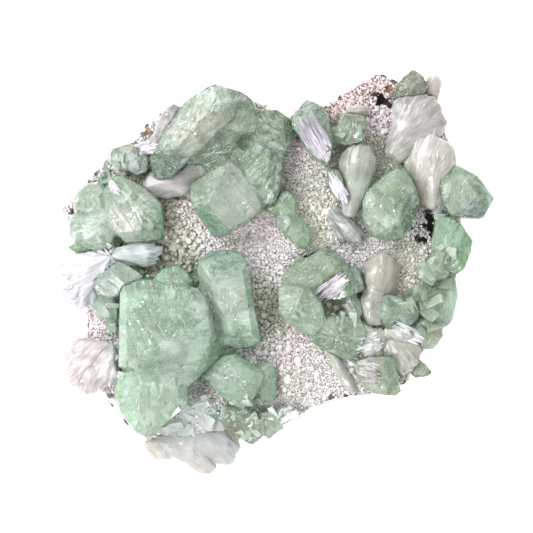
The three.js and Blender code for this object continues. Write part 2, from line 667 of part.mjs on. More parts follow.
// One sheaf of stilbite: a lens-shaped section that widens from root to tip, where it ends in an arc.
function stilbite({ root, tip, narrow, wide, thick }, grow) {
  const start = new THREE.Vector3(root[0], root[1], PLATE_TOP + root[2]);
  const end = new THREE.Vector3(tip[0], tip[1], PLATE_TOP + tip[2]);
  const along = end.clone().sub(start);
  const across = new THREE.Vector3(-along.y, along.x, 0).normalize();
  const up = new THREE.Vector3().crossVectors(along, across).normalize();
  const points = SHEAF_SECTIONS.flatMap((section) =>
    SHEAF_SIDES.flatMap((side) => {
      const reach = section.share * (1 - SHEAF_ROUNDING * section.share * side ** 2);
      const aside = (side * THREE.MathUtils.lerp(narrow, wide, section.width)) / 2;
      const depth = section.thick * thick * THREE.MathUtils.lerp(1, SHEAF_EDGE, side ** 2) + 2 * grow;
      const middle = start.clone().addScaledVector(along, reach).addScaledVector(across, aside);
      return [-0.5, 0.5].map((face) => middle.clone().addScaledVector(up, face * depth));
    }),
  );
  return hull(points, grow);
}

// ---------- the parts ----------
const specimen = new THREE.Group();
const finish = {
  basalt: new THREE.MeshStandardMaterial({ color: 0x3b342c, roughness: 0.9, metalness: 0 }),
  heulandite: new THREE.MeshStandardMaterial({ color: 0xc3bcbb, roughness: 0.5, metalness: 0 }),
  apophyllite: new THREE.MeshStandardMaterial({ color: 0xa9c2af, roughness: 0.12, metalness: 0 }),
  stilbite: new THREE.MeshStandardMaterial({ color: 0xd6d1cd, roughness: 0.3, metalness: 0 }),
};

function addPart(name, solid, material) {
  const mesh = new THREE.Mesh(toGeometry(solid), material);
  mesh.name = name;
  specimen.add(mesh);
}

const rock = toSolid(rockGeometry(CRUST_THICK + GAP));
const pits = PITS.map(({ at, radius }) => {
  const pit = new THREE.CylinderGeometry(radius, radius, 4 * CRUST_THICK, PIT_SIDES).rotateX(Math.PI / 2);
  return toSolid(pit.translate(at[0], at[1], crustHeight(...at)));
});
const crust = toSolid(crustGeometry()).subtract(toSolid(rockGeometry(CRUST_THICK))).subtract(union(pits));
addPart("basalt_matrix", rock, finish.basalt);
addPart("heulandite_crust", largestPiece(crust), finish.heulandite);

let taken = toSolid(rockGeometry(-GAP, 2 * GAP));
for (const [name, { crystals, sheaves }] of Object.entries(GROWTHS)) {
  const grown = (grow) =>
    union(crystals ? crystals.map((c) => apophyllite(c, grow)) : sheaves.map((s) => stilbite(s, grow)));
  addPart(name, largestPiece(grown(0).subtract(taken)), crystals ? finish.apophyllite : finish.stilbite);
  taken = taken.add(grown(GAP));
}

// The origin goes to the middle of the footprint.
const box = new THREE.Box3().setFromObject(specimen);
specimen.position.set(-(box.min.x + box.max.x) / 2, -(box.min.y + box.max.y) / 2, 0);

export default specimen;
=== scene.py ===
# %% [markdown]
# # Apophyllite on heulandite
# A collector's plate of zeolite minerals from a basalt quarry, lying on its trimmed back. Dark basalt
# carries a druse of heulandite, thousands of sugary crystals. On it grew blocks of mint-green apophyllite
# and fanned, pearly sheaves of stilbite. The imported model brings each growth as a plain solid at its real
# place and size. This lesson keeps those places and gives every growth its true surface: worked-out meshes,
# then materials.

import bmesh
import bpy
import numpy as np
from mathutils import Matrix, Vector
from mathutils.bvhtree import BVHTree


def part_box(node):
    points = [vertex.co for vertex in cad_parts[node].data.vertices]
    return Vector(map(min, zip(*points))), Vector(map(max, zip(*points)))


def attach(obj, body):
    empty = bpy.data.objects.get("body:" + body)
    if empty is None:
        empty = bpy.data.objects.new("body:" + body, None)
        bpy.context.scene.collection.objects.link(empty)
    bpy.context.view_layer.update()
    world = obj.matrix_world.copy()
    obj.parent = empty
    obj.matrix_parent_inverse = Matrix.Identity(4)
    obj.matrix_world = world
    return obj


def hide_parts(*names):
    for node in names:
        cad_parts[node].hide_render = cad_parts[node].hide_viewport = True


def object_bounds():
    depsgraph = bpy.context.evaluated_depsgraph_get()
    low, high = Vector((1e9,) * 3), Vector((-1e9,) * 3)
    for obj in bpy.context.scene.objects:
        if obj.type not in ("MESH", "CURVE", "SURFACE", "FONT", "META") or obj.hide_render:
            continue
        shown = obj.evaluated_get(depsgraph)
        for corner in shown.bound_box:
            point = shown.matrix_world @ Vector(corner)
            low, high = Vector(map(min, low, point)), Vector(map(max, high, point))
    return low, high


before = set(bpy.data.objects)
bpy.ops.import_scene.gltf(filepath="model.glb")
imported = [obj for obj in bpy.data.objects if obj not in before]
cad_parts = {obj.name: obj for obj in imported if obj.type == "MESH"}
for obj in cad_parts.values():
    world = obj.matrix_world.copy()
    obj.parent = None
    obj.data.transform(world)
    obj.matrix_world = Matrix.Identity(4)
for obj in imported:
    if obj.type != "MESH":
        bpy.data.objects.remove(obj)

cad_low, cad_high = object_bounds()
scene = bpy.context.scene
print("nodes:", len(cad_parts), " size in mm:", [round(1000 * s, 1) for s in cad_high - cad_low])

# %% [markdown]
# ## Measures
# Blender works in metres, and a mineral is measured in millimetres, so every size below is a number times MM.
# Places on the plate are given in millimetres from its middle, which the frame tells: +X to the right and +Y
# away, seen from above. One function turns such places into points of the scene.

# %% Millimetres, and places on the plate
MM = 0.001
plate_middle = (cad_low + cad_high) / 2


def on_plate(places):
    """Points of the scene, height zero, for places given in millimetres from the plate's middle."""
    level = np.asarray(places, float) * MM + plate_middle.xy
    return np.column_stack([level, np.zeros(len(level))])


print("middle of the plate:", [round(c / MM, 2) for c in plate_middle])

# %% [markdown]
# ## Colour
# Colours are easiest to pick as the three numbers from 0 to 255 that a screen shows. Blender's materials
# want light itself, which is not in step with those numbers, so each colour is converted by the screen's own
# curve.

# %% From screen colours to light


def light_of(screen):
    """Linear light for screen colours: c / 12.92 up to 0.04045, above that ((c + 0.055) / 1.055) ** 2.4."""
    share = np.asarray(screen, float) / 255
    return np.where(share <= 0.04045, share / 12.92, ((share + 0.055) / 1.055) ** 2.4)


print("mint green as light:", light_of((169, 194, 175)).round(3))

# %% [markdown]
# ## Noise
# Nothing on a mineral is even, so many shapes below are bent by noise. A heap of sine waves that run in all
# directions is the simplest smooth noise: it is one formula on whole arrays and gives the same result each
# time. Where two heaps differ only in their seed, they are two different patterns.

# %% A heap of waves


def waves(points, length, seed, count=20):
    """Smooth noise of about -2 to 2: the sum of sines of (direction . point + phase), over the root of
    half their count. The directions are even over the ball, and a wave is between 0.6 and 1.8 times as
    long as asked."""
    rng = np.random.default_rng(seed)
    direction = rng.normal(size=(count, 3))
    direction /= np.linalg.norm(direction, axis=1, keepdims=True)
    turns = direction * (2 * np.pi / (length * rng.uniform(0.6, 1.8, (count, 1))))
    return np.sin(points @ turns.T + rng.uniform(0, 2 * np.pi, count)).sum(axis=1) / np.sqrt(count / 2)


def stripes(distance, length, seed, count=9):
    """The same along one line: noise that depends only on the distance along it, as growth lines do."""
    rng = np.random.default_rng(seed)
    turns = 2 * np.pi / (length * rng.uniform(0.5, 2.2, count))
    heap = np.sin(np.multiply.outer(distance, turns) + rng.uniform(0, 2 * np.pi, count))
    return heap.sum(axis=-1) / np.sqrt(count / 2)


print("three values of the noise:", waves(np.eye(3), 0.5, seed=1).round(2))

# %% [markdown]
# ## Meshes from arrays
# A piece is a heap of corners and a list of faces. Both come out of numpy as arrays, and Blender takes them
# in one gulp with foreach_set, which is far quicker than adding faces one by one. A colour for each corner
# rides along as the attribute "tint", which the materials read.

# %% Put a mesh into the scene


def tinted(mesh, tint):
    """Store one colour of linear light for each corner of a mesh, as the attribute "tint"."""
    paint = mesh.color_attributes.new("tint", "FLOAT_COLOR", "POINT")
    tint = np.clip(tint, 0.005, 0.93)
    paint.data.foreach_set("color", np.column_stack([tint, np.ones(len(tint))]).astype(np.float32).ravel())


def laid(mesh, lie):
    """Store how far each corner is across and along the growth lines, in metres, as the attribute "lie"."""
    store = mesh.attributes.new("lie", "FLOAT_VECTOR", "POINT")
    store.data.foreach_set("vector", np.column_stack([lie, np.zeros(len(lie))]).astype(np.float32).ravel())


def put_up(name, corners, faces, material, tint, lie=None, smooth=False, stands_for=()):
    """Make a piece of the specimen from arrays: corners (n, 3) and faces (m, 3 or 4), as numbers of
    corners."""
    mesh = bpy.data.meshes.new(name)
    mesh.vertices.add(len(corners))
    mesh.vertices.foreach_set("co", np.ascontiguousarray(corners, np.float32).ravel())
    mesh.loops.add(faces.size)
    mesh.loops.foreach_set("vertex_index", np.ascontiguousarray(faces, np.int32).ravel())
    mesh.polygons.add(len(faces))
    mesh.polygons.foreach_set("loop_start", np.arange(len(faces), dtype=np.int32) * faces.shape[1])
    mesh.polygons.foreach_set("use_smooth", np.full(len(faces), smooth))
    mesh.update(calc_edges=True)
    tinted(mesh, tint)
    if lie is not None:
        laid(mesh, lie)
    return settle(bpy.data.objects.new(name, mesh), material, stands_for)


def settle(piece, material, stands_for=()):
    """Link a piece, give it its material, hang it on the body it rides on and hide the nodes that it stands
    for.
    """
    if piece.name not in scene.collection.objects:
        scene.collection.objects.link(piece)
    piece.data.materials.clear()
    piece.data.materials.append(material)
    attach(piece, "root")
    if stands_for:
        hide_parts(*stands_for)
    return piece


# %% [markdown]
# ## The solids as surfaces
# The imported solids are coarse: a few large flat faces. To give them growth lines, chips and pits, a copy is
# cut into even small squares by the Remesh modifier, and the Shrinkwrap modifier then pulls its corners back
# onto the flat faces, so that planes stay planes and only the edges turn a little soft. The node's own mesh
# is left alone: its triangles are loose, so it is the copy whose doubled corners are merged.

# %% Finely cut copies of a node


def corners_of(mesh):
    """Every corner of a mesh and the normal there, as two arrays."""
    points = np.empty(len(mesh.vertices) * 3, np.float32)
    normals = np.empty_like(points)
    mesh.vertices.foreach_get("co", points)
    mesh.vertices.foreach_get("normal", normals)
    return points.reshape(-1, 3).astype(float), normals.reshape(-1, 3).astype(float)


def move_corners(mesh, points):
    """Write new places for all corners of a mesh."""
    mesh.vertices.foreach_set("co", points.astype(np.float32).ravel())
    mesh.update()


def merged_copy(node, name):
    """A new object with the node's mesh, its doubled corners made one."""
    mesh = bpy.data.meshes.new(name)
    work = bmesh.new()
    work.from_mesh(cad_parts[node].data)
    bmesh.ops.remove_doubles(work, verts=work.verts, dist=0.001 * MM)
    work.to_mesh(mesh)
    work.free()
    return bpy.data.objects.new(name, mesh)


def evaluated(piece):
    """A new mesh of a piece with its modifiers applied."""
    return bpy.data.meshes.new_from_object(piece.evaluated_get(bpy.context.evaluated_depsgraph_get()))


def fine_copy(node, name, square, web=0.0):
    """The node's solid with its surface cut into squares of one size, in a mesh of its own. With a web,
    the solid is first swollen and shrunk again by that much, which closes clefts up to twice as wide."""
    piece = merged_copy(node, name)
    scene.collection.objects.link(piece)
    for step in (web, -web) if web else (0,):
        cut = piece.modifiers.new("even squares", "REMESH")
        cut.mode, cut.voxel_size, cut.use_smooth_shade = "VOXEL", square, True
        move = piece.modifiers.new("swell or shrink", "DISPLACE")
        move.strength, move.mid_level = step, 0
    loose = evaluated(piece)
    pull = piece.modifiers.new("back to the planes", "SHRINKWRAP")
    pull.target, pull.wrap_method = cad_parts[node], "NEAREST_SURFACEPOINT"
    mesh = evaluated(piece)
    if web:
        free, pulled = corners_of(loose)[0], corners_of(mesh)[0]
        away = np.linalg.norm(free - pulled, axis=1, keepdims=True)
        move_corners(mesh, pulled + (free - pulled) * np.clip(away / (1.2 * square) - 1, 0, 1))
    mesh.name = name
    piece.modifiers.clear()
    piece.data = mesh
    return piece


# %% [markdown]
# ## Patches of colour
# A growth changes its colour from place to place: a green rim, a milky heart, a smoky cloud. Each patch is a
# place on the plate, how far it reaches and its colour, and every point takes the patches' mean, weighted by
# how near they are. The same weights can mix any other value, such as the size of the druse.

# %% Mix values by nearness


def nearness(points, places, reaches):
    """Weights of the patches at each point, summing to 1: exp(-(distance / reach) squared), plus a trace."""
    away = points[:, None, :2] - on_plate(places)[None, :, :2]
    weight = np.exp(-(away**2).sum(-1) / (np.asarray(reaches) * MM) ** 2) + 1e-9
    return weight / weight.sum(axis=1, keepdims=True)


def patch_colour(points, patches):
    """The light of patches of (place, reach, screen colour), mixed by nearness at each point."""
    places, reaches, colours = zip(*patches)
    return nearness(points, places, reaches) @ light_of(colours)


half_way = nearness(on_plate([(5, 0)]), [(0, 0), (10, 0)], [9, 9])
print("weights half way between two patches:", half_way.round(2))

# %% [markdown]
# ## The groups that the materials share
# Four effects come back in several minerals. "mottling" is cloudy unevenness, "fine grain" is the roughness
# that the fingers feel, "sparkle" picks out small spots, and "streaks" draws fibres. Each is a node group:
# built once, with named inputs, and placed in each material with its own numbers. The first three measure on
# Object coordinates, so a pattern stays put on its piece. Streaks have to follow each crystal's own growth
# lines, so they read the attribute "lie", which says how far a corner is across and along those lines.

# %% Node groups: mottling, fine grain, sparkle and streaks


def new_group(name, inputs, outputs):
    """An empty shader group with float inputs (name: value) and float outputs, and its two end nodes."""
    group = bpy.data.node_groups.new(name, "ShaderNodeTree")
    for title, value in inputs.items():
        group.interface.new_socket(title, in_out="INPUT", socket_type="NodeSocketFloat").default_value = value
    for title in outputs:
        group.interface.new_socket(title, in_out="OUTPUT", socket_type="NodeSocketFloat")
    return group, group.nodes.new("NodeGroupInput"), group.nodes.new("NodeGroupOutput")


def dialled(node, values):
    """The node, with plain numbers or colours set on its own inputs by name."""
    for title, value in values.items():
        node.inputs[title].default_value = value
    return node


def noise_in(group, start, kind="ShaderNodeTexNoise"):
    """A noise texture on Object coordinates, scaled by the group's Density input."""
    place = group.nodes.new("ShaderNodeTexCoord")
    noise = group.nodes.new(kind)
    group.links.new(place.outputs["Object"], noise.inputs["Vector"])
    group.links.new(start.outputs["Density"], noise.inputs["Scale"])
    return noise


def stretched(group, value, start):
    """The share of the way that a value has gone from the group's From input to its To input, 0 to 1."""
    spread = group.nodes.new("ShaderNodeMapRange")
    group.links.new(value, spread.inputs["Value"])
    group.links.new(start.outputs["From"], spread.inputs["From Min"])
    group.links.new(start.outputs["To"], spread.inputs["From Max"])
    return spread.outputs["Result"]


mottling, start, end = new_group("mottling", {"Density": 150, "From": 0.35, "To": 0.65}, ["Mask"])
noise = dialled(noise_in(mottling, start), {"Detail": 6, "Roughness": 0.62, "Distortion": 0.6})
mottling.links.new(stretched(mottling, noise.outputs["Fac"], start), end.inputs["Mask"])

fine_grain, start, end = new_group("fine grain", {"Density": 2500}, ["Height"])
noise = dialled(noise_in(fine_grain, start), {"Detail": 4})
fine_grain.links.new(noise.outputs["Fac"], end.inputs["Height"])

sparkle, start, end = new_group("sparkle", {"Density": 900, "From": 0.25, "To": 0.12}, ["Mask"])
cells = noise_in(sparkle, start, "ShaderNodeTexVoronoi")
sparkle.links.new(stretched(sparkle, cells.outputs["Distance"], start), end.inputs["Mask"])

STREAK_STRETCH = 0.11  # width of a streak for its length
streaks, start, end = new_group("streaks", {"Density": 1500, "From": 0.4, "To": 0.7}, ["Mask", "Height"])
place = streaks.nodes.new("ShaderNodeAttribute")
place.attribute_name = "lie"
squeeze = dialled(streaks.nodes.new("ShaderNodeMapping"), {"Scale": (1, STREAK_STRETCH, 1)})
noise = dialled(streaks.nodes.new("ShaderNodeTexNoise"), {"Detail": 5, "Roughness": 0.6, "Distortion": 0.3})
streaks.links.new(place.outputs["Vector"], squeeze.inputs["Vector"])
streaks.links.new(squeeze.outputs["Vector"], noise.inputs["Vector"])
streaks.links.new(start.outputs["Density"], noise.inputs["Scale"])
streaks.links.new(stretched(streaks, noise.outputs["Fac"], start), end.inputs["Mask"])
streaks.links.new(noise.outputs["Fac"], end.inputs["Height"])
print("groups:", [g.name for g in bpy.data.node_groups])

# %% Helpers for building a material


def new_material(name):
    """A material with an empty tree: the tree, its Principled shader and its output, already joined."""
    material = bpy.data.materials.new(name)
    material.use_nodes = True
    tree = material.node_tree
    tree.nodes.clear()
    shader = tree.nodes.new("ShaderNodeBsdfPrincipled")
    output = tree.nodes.new("ShaderNodeOutputMaterial")
    tree.links.new(shader.outputs["BSDF"], output.inputs["Surface"])
    return material, tree, shader, output


def placed(tree, group, **values):
    """Place a node group and set its inputs."""
    node = tree.nodes.new("ShaderNodeGroup")
    node.node_tree = group
    return dialled(node, values)


def painted(tree):
    """The colour attribute "tint" of the piece."""
    node = tree.nodes.new("ShaderNodeAttribute")
    node.attribute_name = "tint"
    return node.outputs["Color"]


def mixed(tree, mask, first, second, blend="MIX", strength=1.0):
    """Mix two colours by a mask. Either may be a socket or a plain colour."""
    node = tree.nodes.new("ShaderNodeMix")
    node.data_type, node.blend_type = "RGBA", blend
    if strength != 1.0:
        weaker = tree.nodes.new("ShaderNodeMath")
        weaker.operation = "MULTIPLY"
        weaker.inputs[1].default_value = strength
        tree.links.new(mask, weaker.inputs[0])
        mask = weaker.outputs["Value"]
    tree.links.new(mask, node.inputs["Factor"])
    for title, value in (("A", first), ("B", second)):
        socket = [s for s in node.inputs if s.name == title and s.type == "RGBA"][0]
        if isinstance(value, bpy.types.NodeSocket):
            tree.links.new(value, socket)
        else:
            socket.default_value = (*value, 1)
    return [s for s in node.outputs if s.type == "RGBA"][0]


def both(tree, first, second):
    """The product of two masks: 1 where both are 1."""
    node = tree.nodes.new("ShaderNodeMath")
    node.operation = "MULTIPLY"
    tree.links.new(first, node.inputs[0])
    tree.links.new(second, node.inputs[1])
    return node.outputs["Value"]


def bumped(tree, shader, height, distance, strength=1.0):
    """Put a Bump node with this height before the shader's Normal, on top of the one that is there
    already."""
    bump = dialled(tree.nodes.new("ShaderNodeBump"), {"Distance": distance, "Strength": strength})
    tree.links.new(height, bump.inputs["Height"])
    for below in [link.from_socket for link in shader.inputs["Normal"].links]:
        tree.links.new(below, bump.inputs["Normal"])
    tree.links.new(bump.outputs["Normal"], shader.inputs["Normal"])


def ranged(tree, mask, low, high):
    """A mask of 0 to 1 turned into a value of low to high."""
    node = dialled(tree.nodes.new("ShaderNodeMapRange"), {"To Min": low, "To Max": high})
    tree.links.new(mask, node.inputs["Value"])
    return node.outputs["Result"]


# %% [markdown]
# ## Basalt
# The rock is a dark brown-black lava, broken by hammer and saw. Its sides are rough, and iron has rusted
# parts of it red-brown. A single colour with a strong, many-sized bump would look like plastic, so the crags
# are real (see the piece below) and the material only adds rust, lichen-like pale dust and the finest grain.

# %% Material of the basalt
basalt, tree, shader, output = new_material("basalt")
rust = placed(tree, mottling, Density=90, From=0.52, To=0.62)
dust = placed(tree, mottling, Density=420, From=0.5, To=0.75)
grain = placed(tree, fine_grain, Density=2200)
rock = mixed(tree, rust.outputs["Mask"], light_of((74, 67, 55)), light_of((122, 82, 65)))
rock = mixed(tree, dust.outputs["Mask"], rock, light_of((142, 132, 112)), strength=0.5)
tree.links.new(rock, shader.inputs["Base Color"])
dialled(shader, {"Roughness": 0.85})
bumped(tree, shader, grain.outputs["Height"], 0.4 * MM, 0.8)
print("basalt:", len(tree.nodes), "nodes")

# %% [markdown]
# ## Heulandite
# Each druse crystal is small, clear to milky and glassy, so a druse sparkles and stays bright even where it
# is shaded, since light wanders through it. Subsurface scattering gives that softness. Every crystal has its
# own tint from the attribute, and the crust between them is darker, with clay in its gaps.

# %% Materials of the druse and of the crust under it
druse_glass, tree, shader, output = new_material("heulandite druse")
tree.links.new(painted(tree), shader.inputs["Base Color"])
dialled(shader, {
    "Roughness": 0.28, "IOR": 1.5,
    "Subsurface Weight": 0.25, "Subsurface Radius": (1, 0.95, 0.95), "Subsurface Scale": 0.6 * MM,
})

crust_clay, tree, shader, output = new_material("heulandite crust")
specks = placed(tree, mottling, Density=1300, From=0.4, To=0.6)
grain = placed(tree, fine_grain, Density=1800)
clay = mixed(tree, specks.outputs["Mask"], painted(tree), light_of((205, 200, 196)), strength=0.35)
tree.links.new(clay, shader.inputs["Base Color"])
dialled(shader, {"Roughness": 0.7})
bumped(tree, shader, grain.outputs["Height"], 0.5 * MM, 0.9)
print("druse and crust ready")

# %% [markdown]
# ## Apophyllite
# These crystals are half clear and half milky: veils and tiny cavities scatter the light inside. Plain paint
# would look like soap, and a pure glass would only show the rock below. So the shader is glass by a plain
# share, with plain refraction and a green absorption, and the rest of it is a body in which light wanders.
# Its colour has the marks that give scale: zones, clouds, pits, frost, lines and scores along the growth,
# and bright flecks that are painted glints. One function makes three finishes: milky for the big blocks,
# clear for small tips, frosted for chips.

# %% Materials of the apophyllite, and of the veils in it


def crystal(name, transmission, roughness, absorption):
    """Green glass over a scattering body. Its colour is the tint, with one layer of marks over the other; the
    bright flecks are painted glints.
    """
    material, tree, shader, output = new_material(name)
    zones = placed(tree, mottling, Density=110, From=0.42, To=0.62).outputs["Mask"]
    clouds = placed(tree, mottling, Density=260, From=0.5, To=0.75).outputs["Mask"]
    pits = placed(tree, mottling, Density=2000, From=0.42, To=0.6).outputs["Mask"]
    frost_and_edge_highlight = placed(tree, mottling, Density=1900, From=0.52, To=0.62).outputs["Mask"]
    swarms = placed(tree, mottling, Density=150, From=0.47, To=0.57).outputs["Mask"]
    lines = placed(tree, streaks, Density=1300, From=0.53, To=0.63)
    scores = placed(tree, streaks, Density=700, From=0.45, To=0.33).outputs["Mask"]
    # Painted glints: bright white flecks in swarms.
    painted_glints = placed(tree, sparkle, Density=1300, From=0.2, To=0.12).outputs["Mask"]
    grain = placed(tree, fine_grain, Density=1500)
    layers = [
        (zones, (0.77, 0.92, 0.87), "MULTIPLY", 0.5),
        (clouds, light_of((236, 243, 238)), "MIX", 0.5),
        (pits, (0.7, 0.82, 0.79), "MULTIPLY", 0.55),
        (frost_and_edge_highlight, light_of((244, 250, 246)), "MIX", 0.5),
        (both(tree, lines.outputs["Mask"], swarms), light_of((246, 250, 247)), "MIX", 0.6),
        (both(tree, scores, zones), (0.66, 0.82, 0.7), "MULTIPLY", 0.5),
        (both(tree, painted_glints, swarms), light_of((253, 255, 253)), "MIX", 0.9),
    ]
    body = painted(tree)
    for mask, colour, blend, strength in layers:
        body = mixed(tree, mask, body, colour, blend, strength)
    tree.links.new(body, shader.inputs["Base Color"])
    dialled(shader, {
        "Roughness": roughness, "IOR": 1.535, "Transmission Weight": transmission,
        "Subsurface Weight": 0.18, "Subsurface Radius": (0.85, 1, 0.88), "Subsurface Scale": 3 * MM,
    })
    bumped(tree, shader, lines.outputs["Height"], 0.18 * MM, 0.6)
    bumped(tree, shader, grain.outputs["Height"], 0.1 * MM)
    volume = tree.nodes.new("ShaderNodeVolumeAbsorption")
    dialled(volume, {"Color": (0.62, 0.95, 0.72, 1), "Density": absorption})
    tree.links.new(volume.outputs["Volume"], output.inputs["Volume"])
    return material


milky_apophyllite = crystal("milky apophyllite", 0.66, 0.05, 7)
clear_apophyllite = crystal("clear apophyllite", 0.72, 0.03, 8)
frosted_apophyllite = crystal("frosted apophyllite", 0.4, 0.08, 4)

veil, tree, shader, output = new_material("veil")
wisps = placed(tree, mottling, Density=900, From=0.4, To=0.6)
white = mixed(tree, wisps.outputs["Mask"], painted(tree), light_of((255, 255, 255)))
tree.links.new(white, shader.inputs["Base Color"])
dialled(shader, {"Roughness": 0.35})
print("apophyllite ready")

# %% [markdown]
# ## Stilbite
# Stilbite grows as sheaves of thin blades. They are white to cream with the lustre of silk, because light
# runs along and between the blades, so the body scatters light strongly. The tint comes from the attribute,
# and fine streaks follow the fibres. Some sheaves look like wax instead: there the same material shows less
# of the fibres. Cleaved faces shine like foil: their pale colour is a painted reflection, and a coat stands
# for their pearly sheen.

# %% Materials of the stilbite and of the pearly glints


def silk_of(name, fibrous):
    """Stilbite whose fibres show by a share of 0 to 1."""
    material, tree, shader, output = new_material(name)
    fibres = placed(tree, streaks, Density=2600, From=0.5, To=0.68)
    gaps = placed(tree, streaks, Density=1800, From=0.46, To=0.32)
    wisps = placed(tree, mottling, Density=200, From=0.45, To=0.7)
    silk = mixed(tree, wisps.outputs["Mask"], painted(tree), light_of((244, 244, 246)), strength=0.26)
    silk = mixed(tree, gaps.outputs["Mask"], silk, (0.84, 0.83, 0.82), "MULTIPLY", 0.3 * fibrous)
    silk = mixed(tree, fibres.outputs["Mask"], silk, light_of((252, 250, 252)), strength=0.24 * fibrous)
    tree.links.new(silk, shader.inputs["Base Color"])
    tree.links.new(ranged(tree, fibres.outputs["Mask"], 0.2, 0.4), shader.inputs["Roughness"])
    dialled(shader, {
        "IOR": 1.5,
        "Subsurface Weight": 0.8, "Subsurface Radius": (1, 0.97, 0.93), "Subsurface Scale": 2 * MM,
    })
    bumped(tree, shader, fibres.outputs["Height"], 0.1 * MM, 0.45 * fibrous)
    return material


stilbite_silk = silk_of("stilbite silk", 1)
stilbite_wax = silk_of("smooth stilbite", 0.3)

# Painted reflection: the laths of the glints and the sparks get a near-white colour for the light that they
# throw back.
pearly_glint_paint, tree, shader, output = new_material("pearly cleavage")
lines = placed(tree, streaks, Density=2600, From=0.45, To=0.6)
foil = mixed(tree, lines.outputs["Mask"], painted(tree), light_of((236, 230, 240)), strength=0.6)
tree.links.new(foil, shader.inputs["Base Color"])
dialled(shader, {"Roughness": 0.18, "IOR": 1.7, "Coat Weight": 0.6, "Coat Roughness": 0.12})
print("stilbite and pearl ready")

# %% [markdown]
# ## Piece: the basalt
# A broken rock has crags of every size. The copy of the node is cut into squares and each corner moves along
# its normal by noise of three lengths. The larger crags take the highest of several noises, so that chips
# meet in edges. The resting side was sawn, so it stays flat: corners near the table don't move.

# %% The basalt's broken flanks
ROCK_SQUARE = 0.9 * MM
SAWN = 0.6 * MM  # corners below this height don't move


def chipped(points, length, depth, seed):
    """Flat chips with ridges between them: the largest of three noises, times a depth."""
    return depth * np.maximum.reduce([waves(points, length, seed + i, 8) for i in range(3)])


rock = fine_copy("basalt_matrix", "basalt_rock", ROCK_SQUARE)
points, normals = corners_of(rock.data)
crags = chipped(points, 12 * MM, -0.9 * MM, 11) + chipped(points, 4 * MM, -0.35 * MM, 21)
crags += 0.12 * MM * waves(points, 1.5 * MM, 31)
free = np.clip((points[:, 2] - SAWN) / (2 * MM), 0, 1)
move_corners(rock.data, points + normals * ((crags + 0.8 * MM) * free)[:, None])
settle(rock, basalt, ["basalt_matrix"])
print("basalt_rock:", len(rock.data.polygons), "faces")

# %% [markdown]
# ## How the druse changes over the plate
# The heulandite isn't the same everywhere: fine and pinkish white on the open slopes, coarse and olive grey
# in the hollows beside the big blocks, chunky and pink on the northern corner. In those hollows the olive
# grey crystals and the dark ground are painted shadow of the blocks. Each patch below gives a place, its
# reach, the size of its crystals in millimetres, and two screen colours: the crystals' and the ground's.

# %% Patches of druse
ROSE = (216, 200, 202)
WHITE, PINK, GREY, GREEN, OLIVE, CREAM = (
    (226, 222, 224), (230, 217, 221), (196, 196, 190), (200, 204, 188), (172, 172, 156), (218, 214, 202),
)
DARK, CLAY, CHALK = (80, 78, 66), (124, 121, 115), (150, 146, 142)
RED_BROWN, LILAC_WHITE = (96, 68, 58), (226, 216, 228)
DRUSE_PATCHES = [
    # place        reach size crystals ground
    # Painted shadow: the olive crystals on the dark ground at (-29, 13), (-30, 5) and (-25, 3), and the
    # green, olive and grey ones on the dark ground at (-6, -6), (-2, -12) and (-2, -18), lie in the shade of
    # the big blocks beside them.
    ((-29, 13), 6, 1.2, OLIVE, DARK), ((-30, 5), 5, 1.5, OLIVE, DARK), ((-25, 3), 4, 1.2, OLIVE, DARK),
    ((-24, 15), 4, 0.6, PINK, DARK), ((-19, 8), 4, 0.8, WHITE, CLAY), ((-10, 9), 5, 0.65, PINK, CLAY),
    ((-2, 13), 6, 0.6, PINK, CLAY), ((1, 6), 5, 0.65, WHITE, CLAY), ((-3, 1), 4, 0.9, WHITE, CLAY),
    ((-6, -6), 4, 1.0, GREEN, DARK), ((-2, -12), 5, 0.9, OLIVE, DARK), ((-2, -18), 4, 0.9, GREY, DARK),
    ((-4, -25), 4, 1.0, WHITE, CLAY), ((4, -24), 5, 0.65, PINK, CLAY), ((6, -31), 6, 0.7, GREY, CLAY),
    ((14, -32), 6, 0.65, WHITE, CLAY), ((-20, -36), 5, 0.7, GREY, DARK),
    ((-22, -43), 6, 0.8, WHITE, CHALK), ((7, 35), 5, 0.6, PINK, CLAY), ((6, 27), 5, 0.6, GREY, DARK),
    ((11, 25), 4, 0.8, GREY, CLAY), ((12, 18), 5, 0.8, CREAM, CLAY), ((10, 12), 5, 0.7, GREEN, CLAY),
    ((22, 12), 5, 0.8, WHITE, CLAY), ((27, 7), 5, 0.6, WHITE, CLAY), ((30, 33), 7, 0.6, GREEN, CLAY),
    ((32, 42), 4, 1.0, PINK, CLAY), ((22, 51), 7, 0.85, ROSE, RED_BROWN),
    ((30, 55), 5, 0.85, ROSE, RED_BROWN), ((31, 46), 4, 0.9, LILAC_WHITE, DARK),
    ((40, 12), 5, 0.7, WHITE, DARK), ((40, 5), 6, 0.65, GREEN, CLAY), ((38, -2), 6, 0.65, CREAM, CLAY),
    ((18, -11), 4, 0.8, OLIVE, DARK), ((-59, 16), 5, 1.0, PINK, CLAY), ((-52, 30), 4, 0.8, WHITE, DARK),
    ((-44, 27), 5, 0.9, CREAM, DARK), ((-35, 43), 4, 0.7, WHITE, CLAY), ((-54, -15), 5, 0.9, PINK, CLAY),
    ((-48, -38), 5, 0.8, PINK, CLAY), ((51, 33), 4, 0.8, CREAM, DARK), ((-2, 48), 4, 0.9, CREAM, CLAY),
    ((24, -28), 4, 0.8, WHITE, CLAY), ((30, -36), 4, 0.7, GREY, DARK),
]
druse_places, druse_reaches, druse_sizes, druse_colours, ground_colours = zip(*DRUSE_PATCHES)


def druse_at(points):
    """Size, crystal colour and ground colour of the druse at each point, mixed by nearness."""
    near = nearness(points, druse_places, druse_reaches)
    size = near @ (np.array(druse_sizes) * MM)
    return size, near @ light_of(druse_colours), near @ light_of(ground_colours)


print("druse patches:", len(DRUSE_PATCHES))
